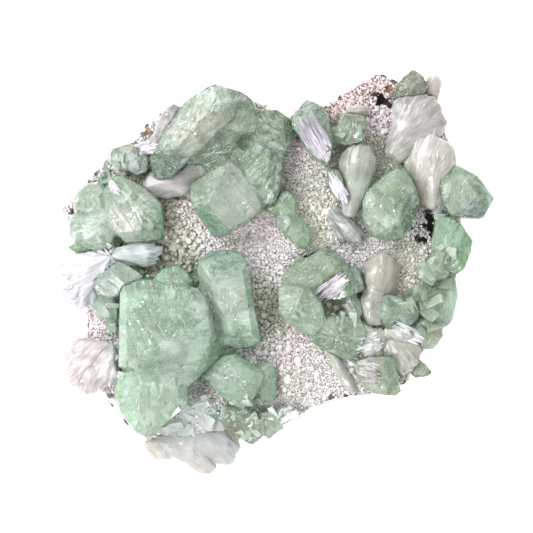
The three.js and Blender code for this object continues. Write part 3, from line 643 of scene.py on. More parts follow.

# %% [markdown]
# ## Bare spots
# Here and there the druse has a gap: gas holes that go down to the black lava, and rusty rock along the
# broken rim. The near-black colour of the holes, darker than the lava's, is in part the lava's own colour and
# in part painted shade at their bottom. Each spot is a place, a radius, how deep it sinks and a screen
# colour. The ground is moved down and coloured by them, and no druse crystal is put on one.

# %% Spots without druse
# The near-black of the holes is in part painted shade at their bottom.
HOLE, RUST, BROWN, MOSS = (36, 33, 25), (128, 82, 62), (84, 70, 52), (78, 80, 52)
BARE_SPOTS = [
    # place    radius depth colour
    ((44.7, 17), 1.2, 2, HOLE), ((46.3, 15.4), 1.3, 2.4, HOLE), ((46.2, 13), 1.6, 2.4, HOLE),
    ((45.6, 11.2), 1.2, 2, HOLE), ((41.8, 9.6), 1.5, 2, HOLE), ((43.4, 9), 1.5, 2, HOLE),
    ((44.4, 13.4), 1.8, 2.4, HOLE), ((44.2, 16), 1.5, 2.4, HOLE), ((39.5, 12.6), 0.8, 1.5, HOLE),
    ((29.2, 51.2), 1.1, 2, HOLE), ((31, 51), 1.5, 2.4, HOLE), ((33, 50), 1.3, 2.2, HOLE),
    ((35, 48.6), 1.0, 1.8, HOLE), ((36.3, 47.4), 0.7, 1.4, HOLE), ((9, 4.1), 0.9, 1.8, HOLE),
    ((10.6, 4.4), 1.1, 2, HOLE), ((12.2, 3.2), 0.9, 1.6, HOLE), ((11, 2.4), 0.8, 1.5, HOLE),
    ((21.5, 27.9), 0.6, 1.2, HOLE), ((27.6, 24.6), 0.6, 1.2, HOLE), ((33.2, 39.9), 0.7, 1.2, HOLE),
    ((6.8, 38.9), 0.7, 1.2, HOLE), ((-8, 37.9), 0.8, 1.2, HOLE), ((-10.8, 36.4), 0.8, 1.2, MOSS),
    ((-37.2, 42.2), 1.6, 0.4, RUST), ((-35.2, 44.8), 1.3, 0.4, RUST), ((-36.6, 40.6), 1.4, 0.4, RUST),
    ((-38.4, 40), 1.2, 0.4, BROWN), ((-41.3, 38), 1.3, 0.6, HOLE), ((-50.2, 32.6), 1.5, 0.6, MOSS),
    ((-52.6, 29), 1.4, 0.5, HOLE), ((-54.6, 26.4), 1.2, 0.4, BROWN), ((-58.8, 17.6), 0.9, 1.4, HOLE),
    ((-54.6, -15.6), 1.1, 0.6, HOLE), ((-48.6, -18.2), 0.9, 0.8, HOLE), ((-48.2, -36), 1.6, 0.5, BROWN),
    ((-52.4, -35.2), 1.2, 0.5, HOLE), ((14.6, 48.2), 1.5, 0.3, BROWN), ((16.6, 49.6), 1.6, 0.3, RUST),
    ((18.6, 51), 1.5, 0.3, BROWN), ((20.8, 52.4), 1.6, 0.3, RUST), ((22.8, 54), 1.5, 0.3, BROWN),
    ((24.6, 55.6), 1.5, 0.3, HOLE), ((26.6, 56.8), 1.5, 0.3, BROWN), ((29, 57.8), 1.5, 0.3, HOLE),
    ((31.4, 57.6), 1.4, 0.3, BROWN), ((33.4, 53.2), 1.5, 0.6, RUST), ((35, 55.4), 1.1, 0.5, HOLE),
    ((16.5, -36.2), 1.1, 1, HOLE), ((20.5, -36.4), 1.2, 1, HOLE), ((24, -36.2), 1.2, 1, HOLE),
    ((37.7, -31.6), 0.8, 0.8, BROWN),
]
spot_places, spot_radii, spot_depths, spot_colours = (np.array(column, float) for column in zip(*BARE_SPOTS))


def bareness(points):
    """How far each point lies in each spot: 1 in its middle, 0 from its wavy edge on."""
    away = np.linalg.norm(points[:, None, :2] - on_plate(spot_places)[None, :, :2], axis=2) / MM
    edge = spot_radii * (1 + 0.22 * waves(points, 1.6 * MM, 9)[:, None])
    return np.clip((edge - away) / (0.35 * spot_radii), 0, 1)


print("bare spots:", len(BARE_SPOTS))

# %% [markdown]
# ## Piece: the ground of the crust
# Between the druse crystals the crust itself shows. It only needs to be rough and dark, but under the clear
# blocks it is made bright: partly for their milky roots, and partly as painted light against the shade that
# the blocks cast there. A ray sent up from each corner tells whether a growth stands over it.

# %% The crust under the druse
growth_names = sorted(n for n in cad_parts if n.startswith(("apophyllite", "stilbite")))


def ray_target(nodes):
    """One tree of triangles for asking where a ray hits these nodes."""
    corners, faces, seen = [], [], 0
    for node in nodes:
        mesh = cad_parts[node].data
        corners += [v.co.copy() for v in mesh.vertices]
        faces += [[seen + i for i in p.vertices] for p in mesh.polygons]
        seen += len(mesh.vertices)
    return BVHTree.FromPolygons(corners, faces)


UP = Vector((0, 0, 1))
growths = ray_target(growth_names)


def is_covered(points, lift):
    """Whether a growth stands over each point: a ray that starts a little above it and runs up hits one."""
    return np.array([growths.ray_cast(Vector(p) + UP * lift, UP)[0] is not None for p in points])


CRUST_SQUARE = 0.75 * MM
# Painted light: the ground under the growths is pale, against the shade that the blocks cast on it.
PAINTED_LIGHT_UNDER_GROWTHS = (170, 178, 170)
crust = fine_copy("heulandite_crust", "heulandite_ground", CRUST_SQUARE)
points, normals = corners_of(crust.data)
covered = is_covered(points, 0.05 * MM)
sizes, crystal_colour, ground = druse_at(points)
ground = np.where(covered[:, None], light_of(PAINTED_LIGHT_UNDER_GROWTHS), ground)
ground *= 1.5 + 0.2 * waves(points, 2 * MM, 5)[:, None]
bare = bareness(points)
ground += (light_of(spot_colours)[bare.argmax(axis=1)] - ground) * bare.max(axis=1, keepdims=True)
rough = 0.16 * MM * waves(points, 2.2 * MM, 7)
rough += 0.1 * MM * waves(points, 0.9 * MM, 8)
rough -= (bare * spot_depths).max(axis=1) * MM * (normals[:, 2] > 0.5)
move_corners(crust.data, points + normals * rough[:, None])
tinted(crust.data, ground)
settle(crust, crust_clay, ["heulandite_crust"])
print("heulandite_ground:", len(crust.data.polygons), "faces,", int(covered.sum()), "corners under growths")

# %% [markdown]
# ## Piece: the druse
# A heulandite crystal is shaped like an old coffin: a thick six-sided plate, widest in the middle. One such
# shape of a few faces is copied tens of thousands of times. First points are strewn evenly over the crust's
# area, then each gets its own size, turn and tint, and all the copies are worked out in a single product of
# arrays: corner = place + turn . (size * unit shape).

# %% One coffin-shaped crystal
COFFIN_OUTLINE = np.array([(-0.62, 0), (-0.28, 0.42), (0.3, 0.42), (0.6, 0.05), (0.3, -0.42), (-0.3, -0.4)])
COFFIN_RINGS = [(-0.35, 0.8), (0.12, 1.0), (0.42, 0.68)]  # height and width of each ring


def stacked_rings(outline, rings):
    """A closed shape: the outline, of an even number of corners, scaled to each ring's width at its height.
    Belts of four-cornered faces join the rings, and fans of four-cornered faces close the ends."""
    corners = np.concatenate([np.column_stack([outline * w, np.full(len(outline), h)]) for h, w in rings])
    n = len(outline)
    i, k = np.arange(n), np.arange(1, n // 2)
    first = np.arange(len(rings) - 1)[:, None] * n
    belts = np.stack([first + i, first + (i + 1) % n, first + n + (i + 1) % n, first + n + i], axis=-1)
    end = np.column_stack([0 * k, 2 * k - 1, 2 * k, 2 * k + 1])
    return corners, np.concatenate([belts.reshape(-1, 4), end[:, ::-1], end + (len(rings) - 1) * n])


def facing_out(corners, faces):
    """Turn all faces round if the volume they enclose comes out negative."""
    a, b, c, d = (corners[faces[:, k]] for k in range(4))
    volume = (a * (np.cross(b, c) + np.cross(c, d))).sum()
    return faces if volume > 0 else faces[:, ::-1]


def solid_of(outline, rings):
    """The corners and the outward faces of stacked rings."""
    corners, faces = stacked_rings(outline, rings)
    return corners, facing_out(corners, faces)


coffin = solid_of(COFFIN_OUTLINE, COFFIN_RINGS)
fine = solid_of(COFFIN_OUTLINE, [COFFIN_RINGS[0], COFFIN_RINGS[2]])
print("faces of one druse crystal:", len(coffin[1]), "or", len(fine[1]))

# %% Strew points over a node's surface


def triangles_of(node):
    """The triangles of a node's own mesh: their corners (n, 3, 3), areas and normals."""
    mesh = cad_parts[node].data
    mesh.calc_loop_triangles()
    index = np.empty(len(mesh.loop_triangles) * 3, np.int32)
    mesh.loop_triangles.foreach_get("vertices", index)
    corners = corners_of(mesh)[0][index].reshape(-1, 3, 3)
    cross = np.cross(corners[:, 1] - corners[:, 0], corners[:, 2] - corners[:, 0])
    area = np.linalg.norm(cross, axis=1) / 2
    return corners, area, cross / np.maximum(2 * area, 1e-15)[:, None]


def strewn(node, per_area, rng, steepest=-1.0):
    """Random points, even by area, on the faces whose normal's height is over `steepest`; and their normals.
    A point of a triangle is a + (b - a)(1 - sqrt u) + (c - a) v sqrt u, with u and v even from 0 to 1."""
    corners, area, normal = triangles_of(node)
    area = np.where(normal[:, 2] > steepest, area, 0)
    chosen = rng.choice(len(area), int(area.sum() * per_area), p=area / area.sum())
    root, v = np.sqrt(rng.random((len(chosen), 1))), rng.random((len(chosen), 1))
    a, b, c = (corners[chosen, k] for k in range(3))
    return a + (b - a) * (1 - root) + (c - a) * v * root, normal[chosen]


def turns(normals, lean, rng):
    """A turn for each crystal: its height axis is the normal, leant over at random, and it is spun."""
    up = normals + lean * rng.normal(size=normals.shape)
    up /= np.linalg.norm(up, axis=1, keepdims=True)
    side = np.cross(up, rng.normal(size=normals.shape))
    side /= np.linalg.norm(side, axis=1, keepdims=True)
    return np.stack([side, np.cross(up, side), up], axis=2)


def repeated(faces, count, each):
    """The faces of `count` copies of a shape with `each` corners, numbered on from copy to copy."""
    return (faces[None] + (np.arange(count) * each)[:, None, None]).reshape(-1, faces.shape[1])


def copies(shape, shape_faces, places, turn, scale):
    """All copies of a shape at once: places + turn . (scale * shape), and their faces."""
    corners = places[:, None] + np.einsum("nij,nkj->nki", turn, scale[:, None] * shape[None])
    return corners.reshape(-1, 3), repeated(shape_faces, len(places), len(shape))


# %% Grow the druse
PER_PIECE = 6000  # crystals


def spaced(places, size, spread):
    """Which crystals to keep so that they stand apart: the first in each cube `spread` times their size wide,
    tried with two sets of cubes."""
    step = 0.1 * MM * np.round(size / (0.1 * MM))
    left = np.arange(len(size))
    for shift in (0, 0.5):
        cell = np.floor(places[left] / (spread * step[left])[:, None] + shift)
        _, first = np.unique(np.column_stack([cell, step[left] / MM]).round(2), axis=0, return_index=True)
        left = left[first]
    return left


def grow_druse(name, per_square_mm, shape, grown, spread, lean, lift, seed):
    """Strew coffin crystals over the open crust and put them up as pieces of at most PER_PIECE crystals. They
    are the druse's size there, times a random share in the range `grown`, and stand out by `lift` of it."""
    rng = np.random.default_rng(seed)
    places, normals = strewn("heulandite_crust", per_square_mm / MM**2, rng, steepest=-0.6)
    open_sky = ~is_covered(places, 0.2 * MM) & (bareness(places).max(axis=1) < 0.4)
    places, normals = places[open_sky], normals[open_sky]
    size, colour, ground = druse_at(places)
    keep = spaced(places, size, spread)
    places, normals, colour = places[keep], normals[keep], colour[keep]
    size = size[keep] * rng.uniform(*grown, len(keep))
    scale = size[:, None] * rng.uniform((0.8, 1.0, 0.8), (1.15, 1.45, 1.3), (len(size), 3))
    turn = turns(normals, lean, rng)
    places = places + normals * (lift * size)[:, None]
    tint = colour * rng.triangular(0.6, 1.0, 1.35, (len(size), 1)) * rng.uniform(0.97, 1.03, colour.shape)
    order = np.argsort(places[:, 0] + places[:, 1])
    for k, part in enumerate(np.array_split(order, max(1, int(np.ceil(len(order) / PER_PIECE))))):
        corners, faces = copies(*shape, places[part], turn[part], scale[part])
        shade = np.repeat(tint[part], len(shape[0]), axis=0)
        put_up(f"{name}_{k + 1}", corners, faces, druse_glass, shade)
    print(name, len(order), "crystals")


grow_druse("fine_druse", 14, fine, (0.65, 1.1), spread=0.7, lean=0.5, lift=0.1, seed=41)
grow_druse("coarse_druse", 1.2, coffin, (1.05, 1.5), spread=3.2, lean=0.6, lift=0.35, seed=42)

# %% [markdown]
# ## Piece: the large druse crystals
# Here and there one crystal of the druse has grown two or three times as large as its neighbours. Each has
# its place, its size in millimetres and a screen colour. A ray cast down finds the surface that it sits on.

# %% The surface under a place
ground_target = ray_target([*growth_names, "heulandite_crust", "basalt_matrix"])


def surface_at(places):
    """Points on the highest surface of the model over places in mm, found by rays cast down, and the normals
    there. Where there is no surface, the height is not a number."""
    points = on_plate(places)
    hits = [ground_target.ray_cast(Vector((x, y, cad_high.z + MM)), -UP) for x, y, _ in points]
    points[:, 2] = [hit[0].z if hit[0] else np.nan for hit in hits]
    return points, np.array([tuple(hit[1]) if hit[1] else (0, 0, 1) for hit in hits])


def scattered(middles, reaches, counts, steepest, rng):
    """Points strewn in discs on the surface: place = middle + reach * root of a random share * a random
    direction. Gives those on faces flatter than `steepest`, the normals there and the discs' numbers."""
    which = np.repeat(np.arange(len(counts)), counts)
    angle = rng.uniform(0, 2 * np.pi, len(which))
    away = reaches[which] * np.sqrt(rng.random(len(which)))
    places = middles[which] + away[:, None] * np.column_stack([np.cos(angle), np.sin(angle)])
    points, normal = surface_at(places)
    good = np.isfinite(points[:, 2]) & (normal[:, 2] > steepest)
    return points[good], normal[good], which[good]


print("height of the plate's middle:", surface_at([(0, 0)])[0][0, 2].round(4))

# %% Set the large crystals
# Painted shadow: the olive, grey and green crystals round (-28, 8) and (-3, -9) take the dark colours of the
# shade that the big blocks cast there.
LARGE = [
    ((-6.3, -25.1), 2.2, WHITE), ((-4.3, -23.6), 2.0, WHITE), ((4, -22.1), 2.6, PINK),
    ((6.6, -25.6), 2.4, PINK), ((3.8, -31.3), 2.3, WHITE), ((2.8, -34.1), 1.8, CREAM),
    ((4.2, -35.3), 1.8, WHITE), ((1.8, -27.8), 1.8, WHITE), ((22, -26.3), 2.2, WHITE),
    ((22.2, -28.6), 2.0, CREAM), ((-30.2, 11.4), 2.1, OLIVE), ((-27.8, 11.4), 2.2, GREY),
    ((-26.2, 9.9), 2.0, GREY), ((-31.2, 8.9), 2.0, OLIVE), ((-29.2, 6.9), 2.2, GREY),
    ((-26.8, 5.9), 2.4, OLIVE), ((-24.2, 5.4), 2.0, GREY), ((-32, 14), 1.8, OLIVE),
    ((-30, 2), 1.8, OLIVE), ((-22.5, 4.5), 1.7, WHITE), ((-19, 6.4), 2.3, WHITE),
    ((14.8, 17.4), 2.2, WHITE), ((-6.2, -4.1), 2.0, GREEN), ((-4.4, -5.6), 2.2, GREEN),
    ((-3.2, -12.6), 2.0, GREEN), ((-0.8, -13.6), 1.9, OLIVE), ((-4, -9), 1.7, GREEN),
    ((7, 24), 1.6, CREAM), ((9, 21), 1.6, CREAM), ((11, 18.5), 1.7, CREAM), ((13, 15.5), 1.6, CREAM),
    ((16, 11), 1.7, CREAM), ((30, 41.5), 1.9, WHITE), ((32, 43.5), 1.8, WHITE), ((34, 45), 2.0, PINK),
    ((28.5, 44), 1.9, PINK), ((36, 43), 1.8, WHITE), ((15.5, -9.4), 1.8, CREAM),
    ((17.6, -10.4), 1.9, GREY), ((19.3, -12), 1.7, OLIVE), ((17, -12.6), 1.7, CREAM),
    ((15.4, -12), 1.6, GREY), ((20, -9.8), 1.6, CREAM), ((18.6, -8.8), 1.5, OLIVE),
    ((-40.6, 28), 1.8, CREAM), ((42.5, 6), 1.7, WHITE), ((-34, 44.4), 1.9, WHITE),
    ((-53.3, -15.6), 1.8, WHITE), ((12, -29.5), 1.7, PINK), ((9.4, -33), 1.7, WHITE),
]
middles, sizes, colours = zip(*LARGE)
rng = np.random.default_rng(44)
places, normal = surface_at(middles)
scale = (np.array(sizes) * MM)[:, None] * rng.uniform((0.8, 0.8, 0.6), (1.0, 1.1, 0.9), (len(LARGE), 3))
corners, faces = copies(*coffin, places, turns(normal, 0.3, rng), scale)
tint = np.repeat(light_of(colours) * rng.uniform(0.8, 1.05, (len(LARGE), 1)), len(coffin[0]), axis=0)
put_up("large_druse", corners, faces, druse_glass, tint)
print("large crystals:", len(LARGE))

# %% [markdown]
# ## Pieces: the apophyllite blocks
# A grown crystal face is never a perfect plane. The upright prism faces carry fine lines along the crystal's
# axis, the top faces have low steps where growth layers ended, and there are small pits and chips along the
# edges. Each is a noise of its own kind, added along the normal. All the corners of a growth are moved at
# once.

# %% Patches of colour of each growth: place, reach, colour
PLAIN_GREEN, FROST_AND_HIGHLIGHT = (156, 180, 154), (244, 250, 246)
APOPHYLLITE_PATCHES = {
    "north_west_bud": [((-46, 30), 4, (190, 202, 184))],
    "west_teal": [((-48, 0), 4, (185, 210, 189)), ((-43, -3), 3, (200, 216, 200))],
    "south_tips": [((-8, -42), 4, (160, 170, 152)), ((2, -42), 4, (188, 200, 182))],
    "south_east_block": [((27, -28), 4, (184, 190, 173)), ((34, -28), 4, (144, 167, 136))],
    "south_east_tip": [((42, -27), 4, (160, 164, 138))],
    "north_east_tip": [((40, 55), 4, (136, 147, 128)), ((38, 52), 2, (101, 109, 97))],
    "east_wedge": [((38, -12), 4, (138, 159, 134))],
    "middle_stair": [((0, 16), 4, (149, 173, 143))],
    "great_blocks": [
        ((-32, -7), 7, (150, 182, 150)), ((-32, -14), 6, (143, 176, 143)),
        ((-30, -22), 6, (168, 192, 167)), ((-45, -15), 4, (164, 186, 162)),
        ((-22, -20), 4, (152, 182, 151)), ((-30, -1), 4, (133, 172, 136)),
        ((-42, -40), 6, (182, 202, 178)), ((-34, -37), 6, (173, 200, 169)),
        ((-27, -40), 4, (182, 202, 178)), ((-16, 3), 4, (120, 152, 125)), ((-15, -7), 5, (204, 211, 198)),
        ((-10, -8), 4, (182, 202, 178)), ((-14, -19), 4, (125, 168, 127)),
        # Painted shade: the olive patch at (-17, -14) is the dark side face in the cleft between two blocks.
        ((-17, -14), 2, (131, 160, 118)), ((-23, 0), 3, (156, 188, 156)),
    ],
    "north_group": [
        ((-12, 21), 6, (186, 193, 181)), ((-20, 14), 3, (137, 167, 146)), ((-22, 24), 3, (167, 184, 163)),
        ((-3, 28), 4, (97, 137, 98)), ((-7, 35), 4, (122, 155, 120)), ((0, 22), 3, (143, 172, 143)),
        ((-1, 40), 4, (121, 138, 111)), ((-11, 46), 4, (116, 139, 106)),
        ((-22, 38), 3.5, (206, 202, 182)), ((-16, 43), 3.5, (202, 200, 180)),
        ((-15, 51), 3, (206, 214, 206)), ((-17, 50), 3, (167, 184, 163)), ((-28, 44), 3, (147, 160, 140)),
        # Painted shade: the dark green patch at (-18, 34) is a crystal lying in the shade of the long crystal
        # above it.
        ((-31, 32), 3, (106, 130, 106)), ((-18, 34), 4, (118, 145, 112)),
    ],
    "west_group": [
        ((-53, 21), 4, (198, 218, 194)), ((-54, 12), 5, (198, 218, 194)), ((-45, 14), 4, (220, 229, 214)),
        ((-36, 13), 3.5, (115, 163, 116)), ((-41, 22), 4, (163, 194, 157)),
        ((-57, 7), 3, (142, 173, 128)),
    ],
    "east_block": [
        ((27, 19), 4, (196, 202, 194)), ((33, 13), 4, (143, 173, 143)), ((38, 16), 3.5, (78, 128, 80)),
        ((33, 25), 4, (164, 186, 160)),
    ],
    "far_east_block": [
        ((52, 23), 3.5, (214, 220, 208)), ((60, 23), 3, (124, 156, 136)), ((57, 18), 3, (88, 116, 98)),
        ((50, 29), 3, (154, 186, 154)),
    ],
    "north_prisms": [
        ((12, 45), 4, (123, 147, 121)), ((8, 41), 3, (147, 177, 147)), ((21, 41), 5, (172, 182, 162)),
    ],
    "centre_group": [
        ((8, -12), 5, (149, 179, 149)), ((3, -9), 3, (174, 192, 171)), ((10, 0), 5, (161, 178, 152)),
        ((17, 2), 3, (125, 152, 113)), ((23, -2), 3, (101, 144, 102)), ((18, -19), 5, (140, 167, 135)),
        ((23, -10), 2, (144, 174, 152)),
    ],
    "east_edge_group": [
        ((52, 5), 4, (118, 163, 109)), ((48, 10), 3, (159, 192, 159)), ((46, 2), 3, (186, 206, 182)),
        ((43, -8), 4, (173, 182, 159)), ((49, -9), 3, (168, 192, 168)), ((45, -18), 4, (188, 192, 166)),
    ],
}
print("growths with patches:", len(APOPHYLLITE_PATCHES))

# %% Which face of the crystal a corner lies on
EDGE_REACH = 0.6  # mm
SLIVER = 0.01 * MM**2  # a triangle too small to count as a face


def planes_of(node):
    """The flat faces of a node: one row for each plane, its normal and its distance from the origin in mm."""
    corners, area, normal = triangles_of(node)
    corners, normal = corners[area > SLIVER], normal[area > SLIVER]
    distance = (normal * corners[:, 0]).sum(axis=1) / MM
    _, first = np.unique(np.column_stack([normal * 40, distance * 4]).round(), axis=0, return_index=True)
    return normal[first], distance[first]


def facet_of(points, normals, planes):
    """The plane that each corner lies on: the one for which distance in mm plus 1 - cos(turn) is
    smallest; and how near the corner is to an edge, 0 to 1, from how much worse the next best plane is."""
    normal, distance = planes
    off = np.abs(points / MM @ normal.T - distance) + 2 * (1 - normals @ normal.T)
    two = np.partition(off, 1, axis=1)
    return off.argmin(axis=1), np.clip(1 - (two[:, 1] - two[:, 0]) / EDGE_REACH, 0, 1)


def lie_on(points, facet, planes, seed):
    """Across and along coordinates on each corner's own face. The lines run level or down the face's
    slope, by turns, with a small twist of its own for each face."""
    normal = planes[0]
    rng = np.random.default_rng(seed)
    level = np.column_stack([-normal[:, 1], normal[:, 0], 1e-6 + 0 * normal[:, 0]])
    level /= np.linalg.norm(level, axis=1, keepdims=True)
    fall = np.cross(normal, level)
    turn = rng.choice([0, np.pi / 2], len(normal)) + rng.normal(0, 0.3, len(normal))
    across = np.cos(turn)[:, None] * level + np.sin(turn)[:, None] * fall
    along = np.cos(turn)[:, None] * fall - np.sin(turn)[:, None] * level
    return np.column_stack([(points * across[facet]).sum(axis=1), (points * along[facet]).sum(axis=1)])


print("faces of the far east block:", len(planes_of("apophyllite_far_east_block")[0]))

# %% Ledges, growth lines and chips
BIG_LEDGE = (3 * MM, 6 * MM, 56)  # width, length and seed
SMALL_LEDGE = (1.1 * MM, 2.6 * MM, 57)
TINY_LEDGE = (0.5 * MM, 1.3 * MM, 58)


def terraces(lie, facet, wide, long, seed):
    """Raised blocks along the growth lines: the across and along coordinates are cut into cells with wavy
    sides, and each cell of each face takes its own random height of 0 to 1."""
    bend = stripes(lie[:, 1], 2.5 * long, seed) * 0.25
    across = np.floor(lie[:, 0] / wide + bend).astype(int)
    along = np.floor(lie[:, 1] / long + 0.37 * across).astype(int)
    heights = np.random.default_rng(seed).random(4096)
    return heights[(across * 73 + along * 179 + facet * 31) % len(heights)]


def grown_faces(points, lie, facet):
    """How far each corner moves out: a slow swell, big and small terraces, growth lines and chips."""
    move = 0.05 * MM * waves(points, 8 * MM, 52)
    move += 0.16 * MM * terraces(lie, facet, *BIG_LEDGE) ** 2
    move += 0.05 * MM * terraces(lie, facet, *SMALL_LEDGE)
    move += 0.03 * MM * stripes(lie[:, 0], 1.4 * MM, 53)
    return move - 0.3 * MM * np.clip(waves(points, 2.2 * MM, 55) - 1.7, 0, 0.8)


print("largest ledges:", BIG_LEDGE[0] / MM, "by", BIG_LEDGE[1] / MM, "mm")

# %% The colour of a growth


def paled(tint):
    """A paler tint for clear crystal, which darkens what is seen through it: 1.1 * tint to the power 0.8."""
    return np.minimum(1.1 * tint ** 0.8, 0.95)


def middles_of(points, facet, count):
    """The middle of the corners on each face, given back at each corner."""
    number = np.maximum(np.bincount(facet, minlength=count), 1)[:, None]
    total = np.column_stack([np.bincount(facet, points[:, axis], count) for axis in range(3)])
    return (total / number)[facet]


GROWTH_TONE = {  # what a growth's own light does to its red, green and blue
    "far_east_block": (0.74, 0.73, 0.62), "north_group": (0.8, 0.8, 0.75), "north_prisms": (0.72, 0.7, 0.65),
    "centre_group": (0.86, 0.79, 0.76), "east_block": (0.81, 0.81, 0.7), "north_west_bud": (0.83, 0.71, 0.73),
    "north_east_tip": (0.88, 0.73, 0.67), "west_group": (0.94, 0.8, 0.87), "west_teal": (0.76, 0.72, 0.75),
    "great_blocks": (0.9, 0.9, 0.92), "south_east_block": (1, 0.88, 0.87), "south_tips": (0.89, 0.78, 0.77),
    "middle_stair": (0.9, 0.92, 0.84), "south_block": (0.98, 0.94, 0.95),
}


def tint_of(growth, points):
    """The mix of a growth's patches at each point, or plain mint where it has none."""
    if growth not in APOPHYLLITE_PATCHES:
        return np.tile(light_of(PLAIN_GREEN), (len(points), 1))
    return patch_colour(points, APOPHYLLITE_PATCHES[growth]) * GROWTH_TONE.get(growth, (1, 1, 1))


def marked(tint, points, lie, facet, seed):
    """The tint with the ledges of the growth in it: each big, small and tiny ledge has its own tone, and
    in some areas single small ones are frosted white or dark."""
    big, small, tiny = (terraces(lie, facet, *ledge) for ledge in (BIG_LEDGE, SMALL_LEDGE, TINY_LEDGE))
    tint = tint * (1 + 0.16 * (big - 0.5) + 0.14 * (small - 0.5) + 0.12 * (tiny - 0.5))[:, None]
    area = np.clip(waves(points, 8 * MM, seed) - 0.2, 0, 1)
    frosted = area * np.clip(0.6 * (small > 0.84) + 0.7 * (tiny > 0.9), 0, 1)
    tint += (light_of(FROST_AND_HIGHLIGHT) - tint) * frosted[:, None]
    return tint * (1 - 0.3 * area * (tiny < 0.07))[:, None]
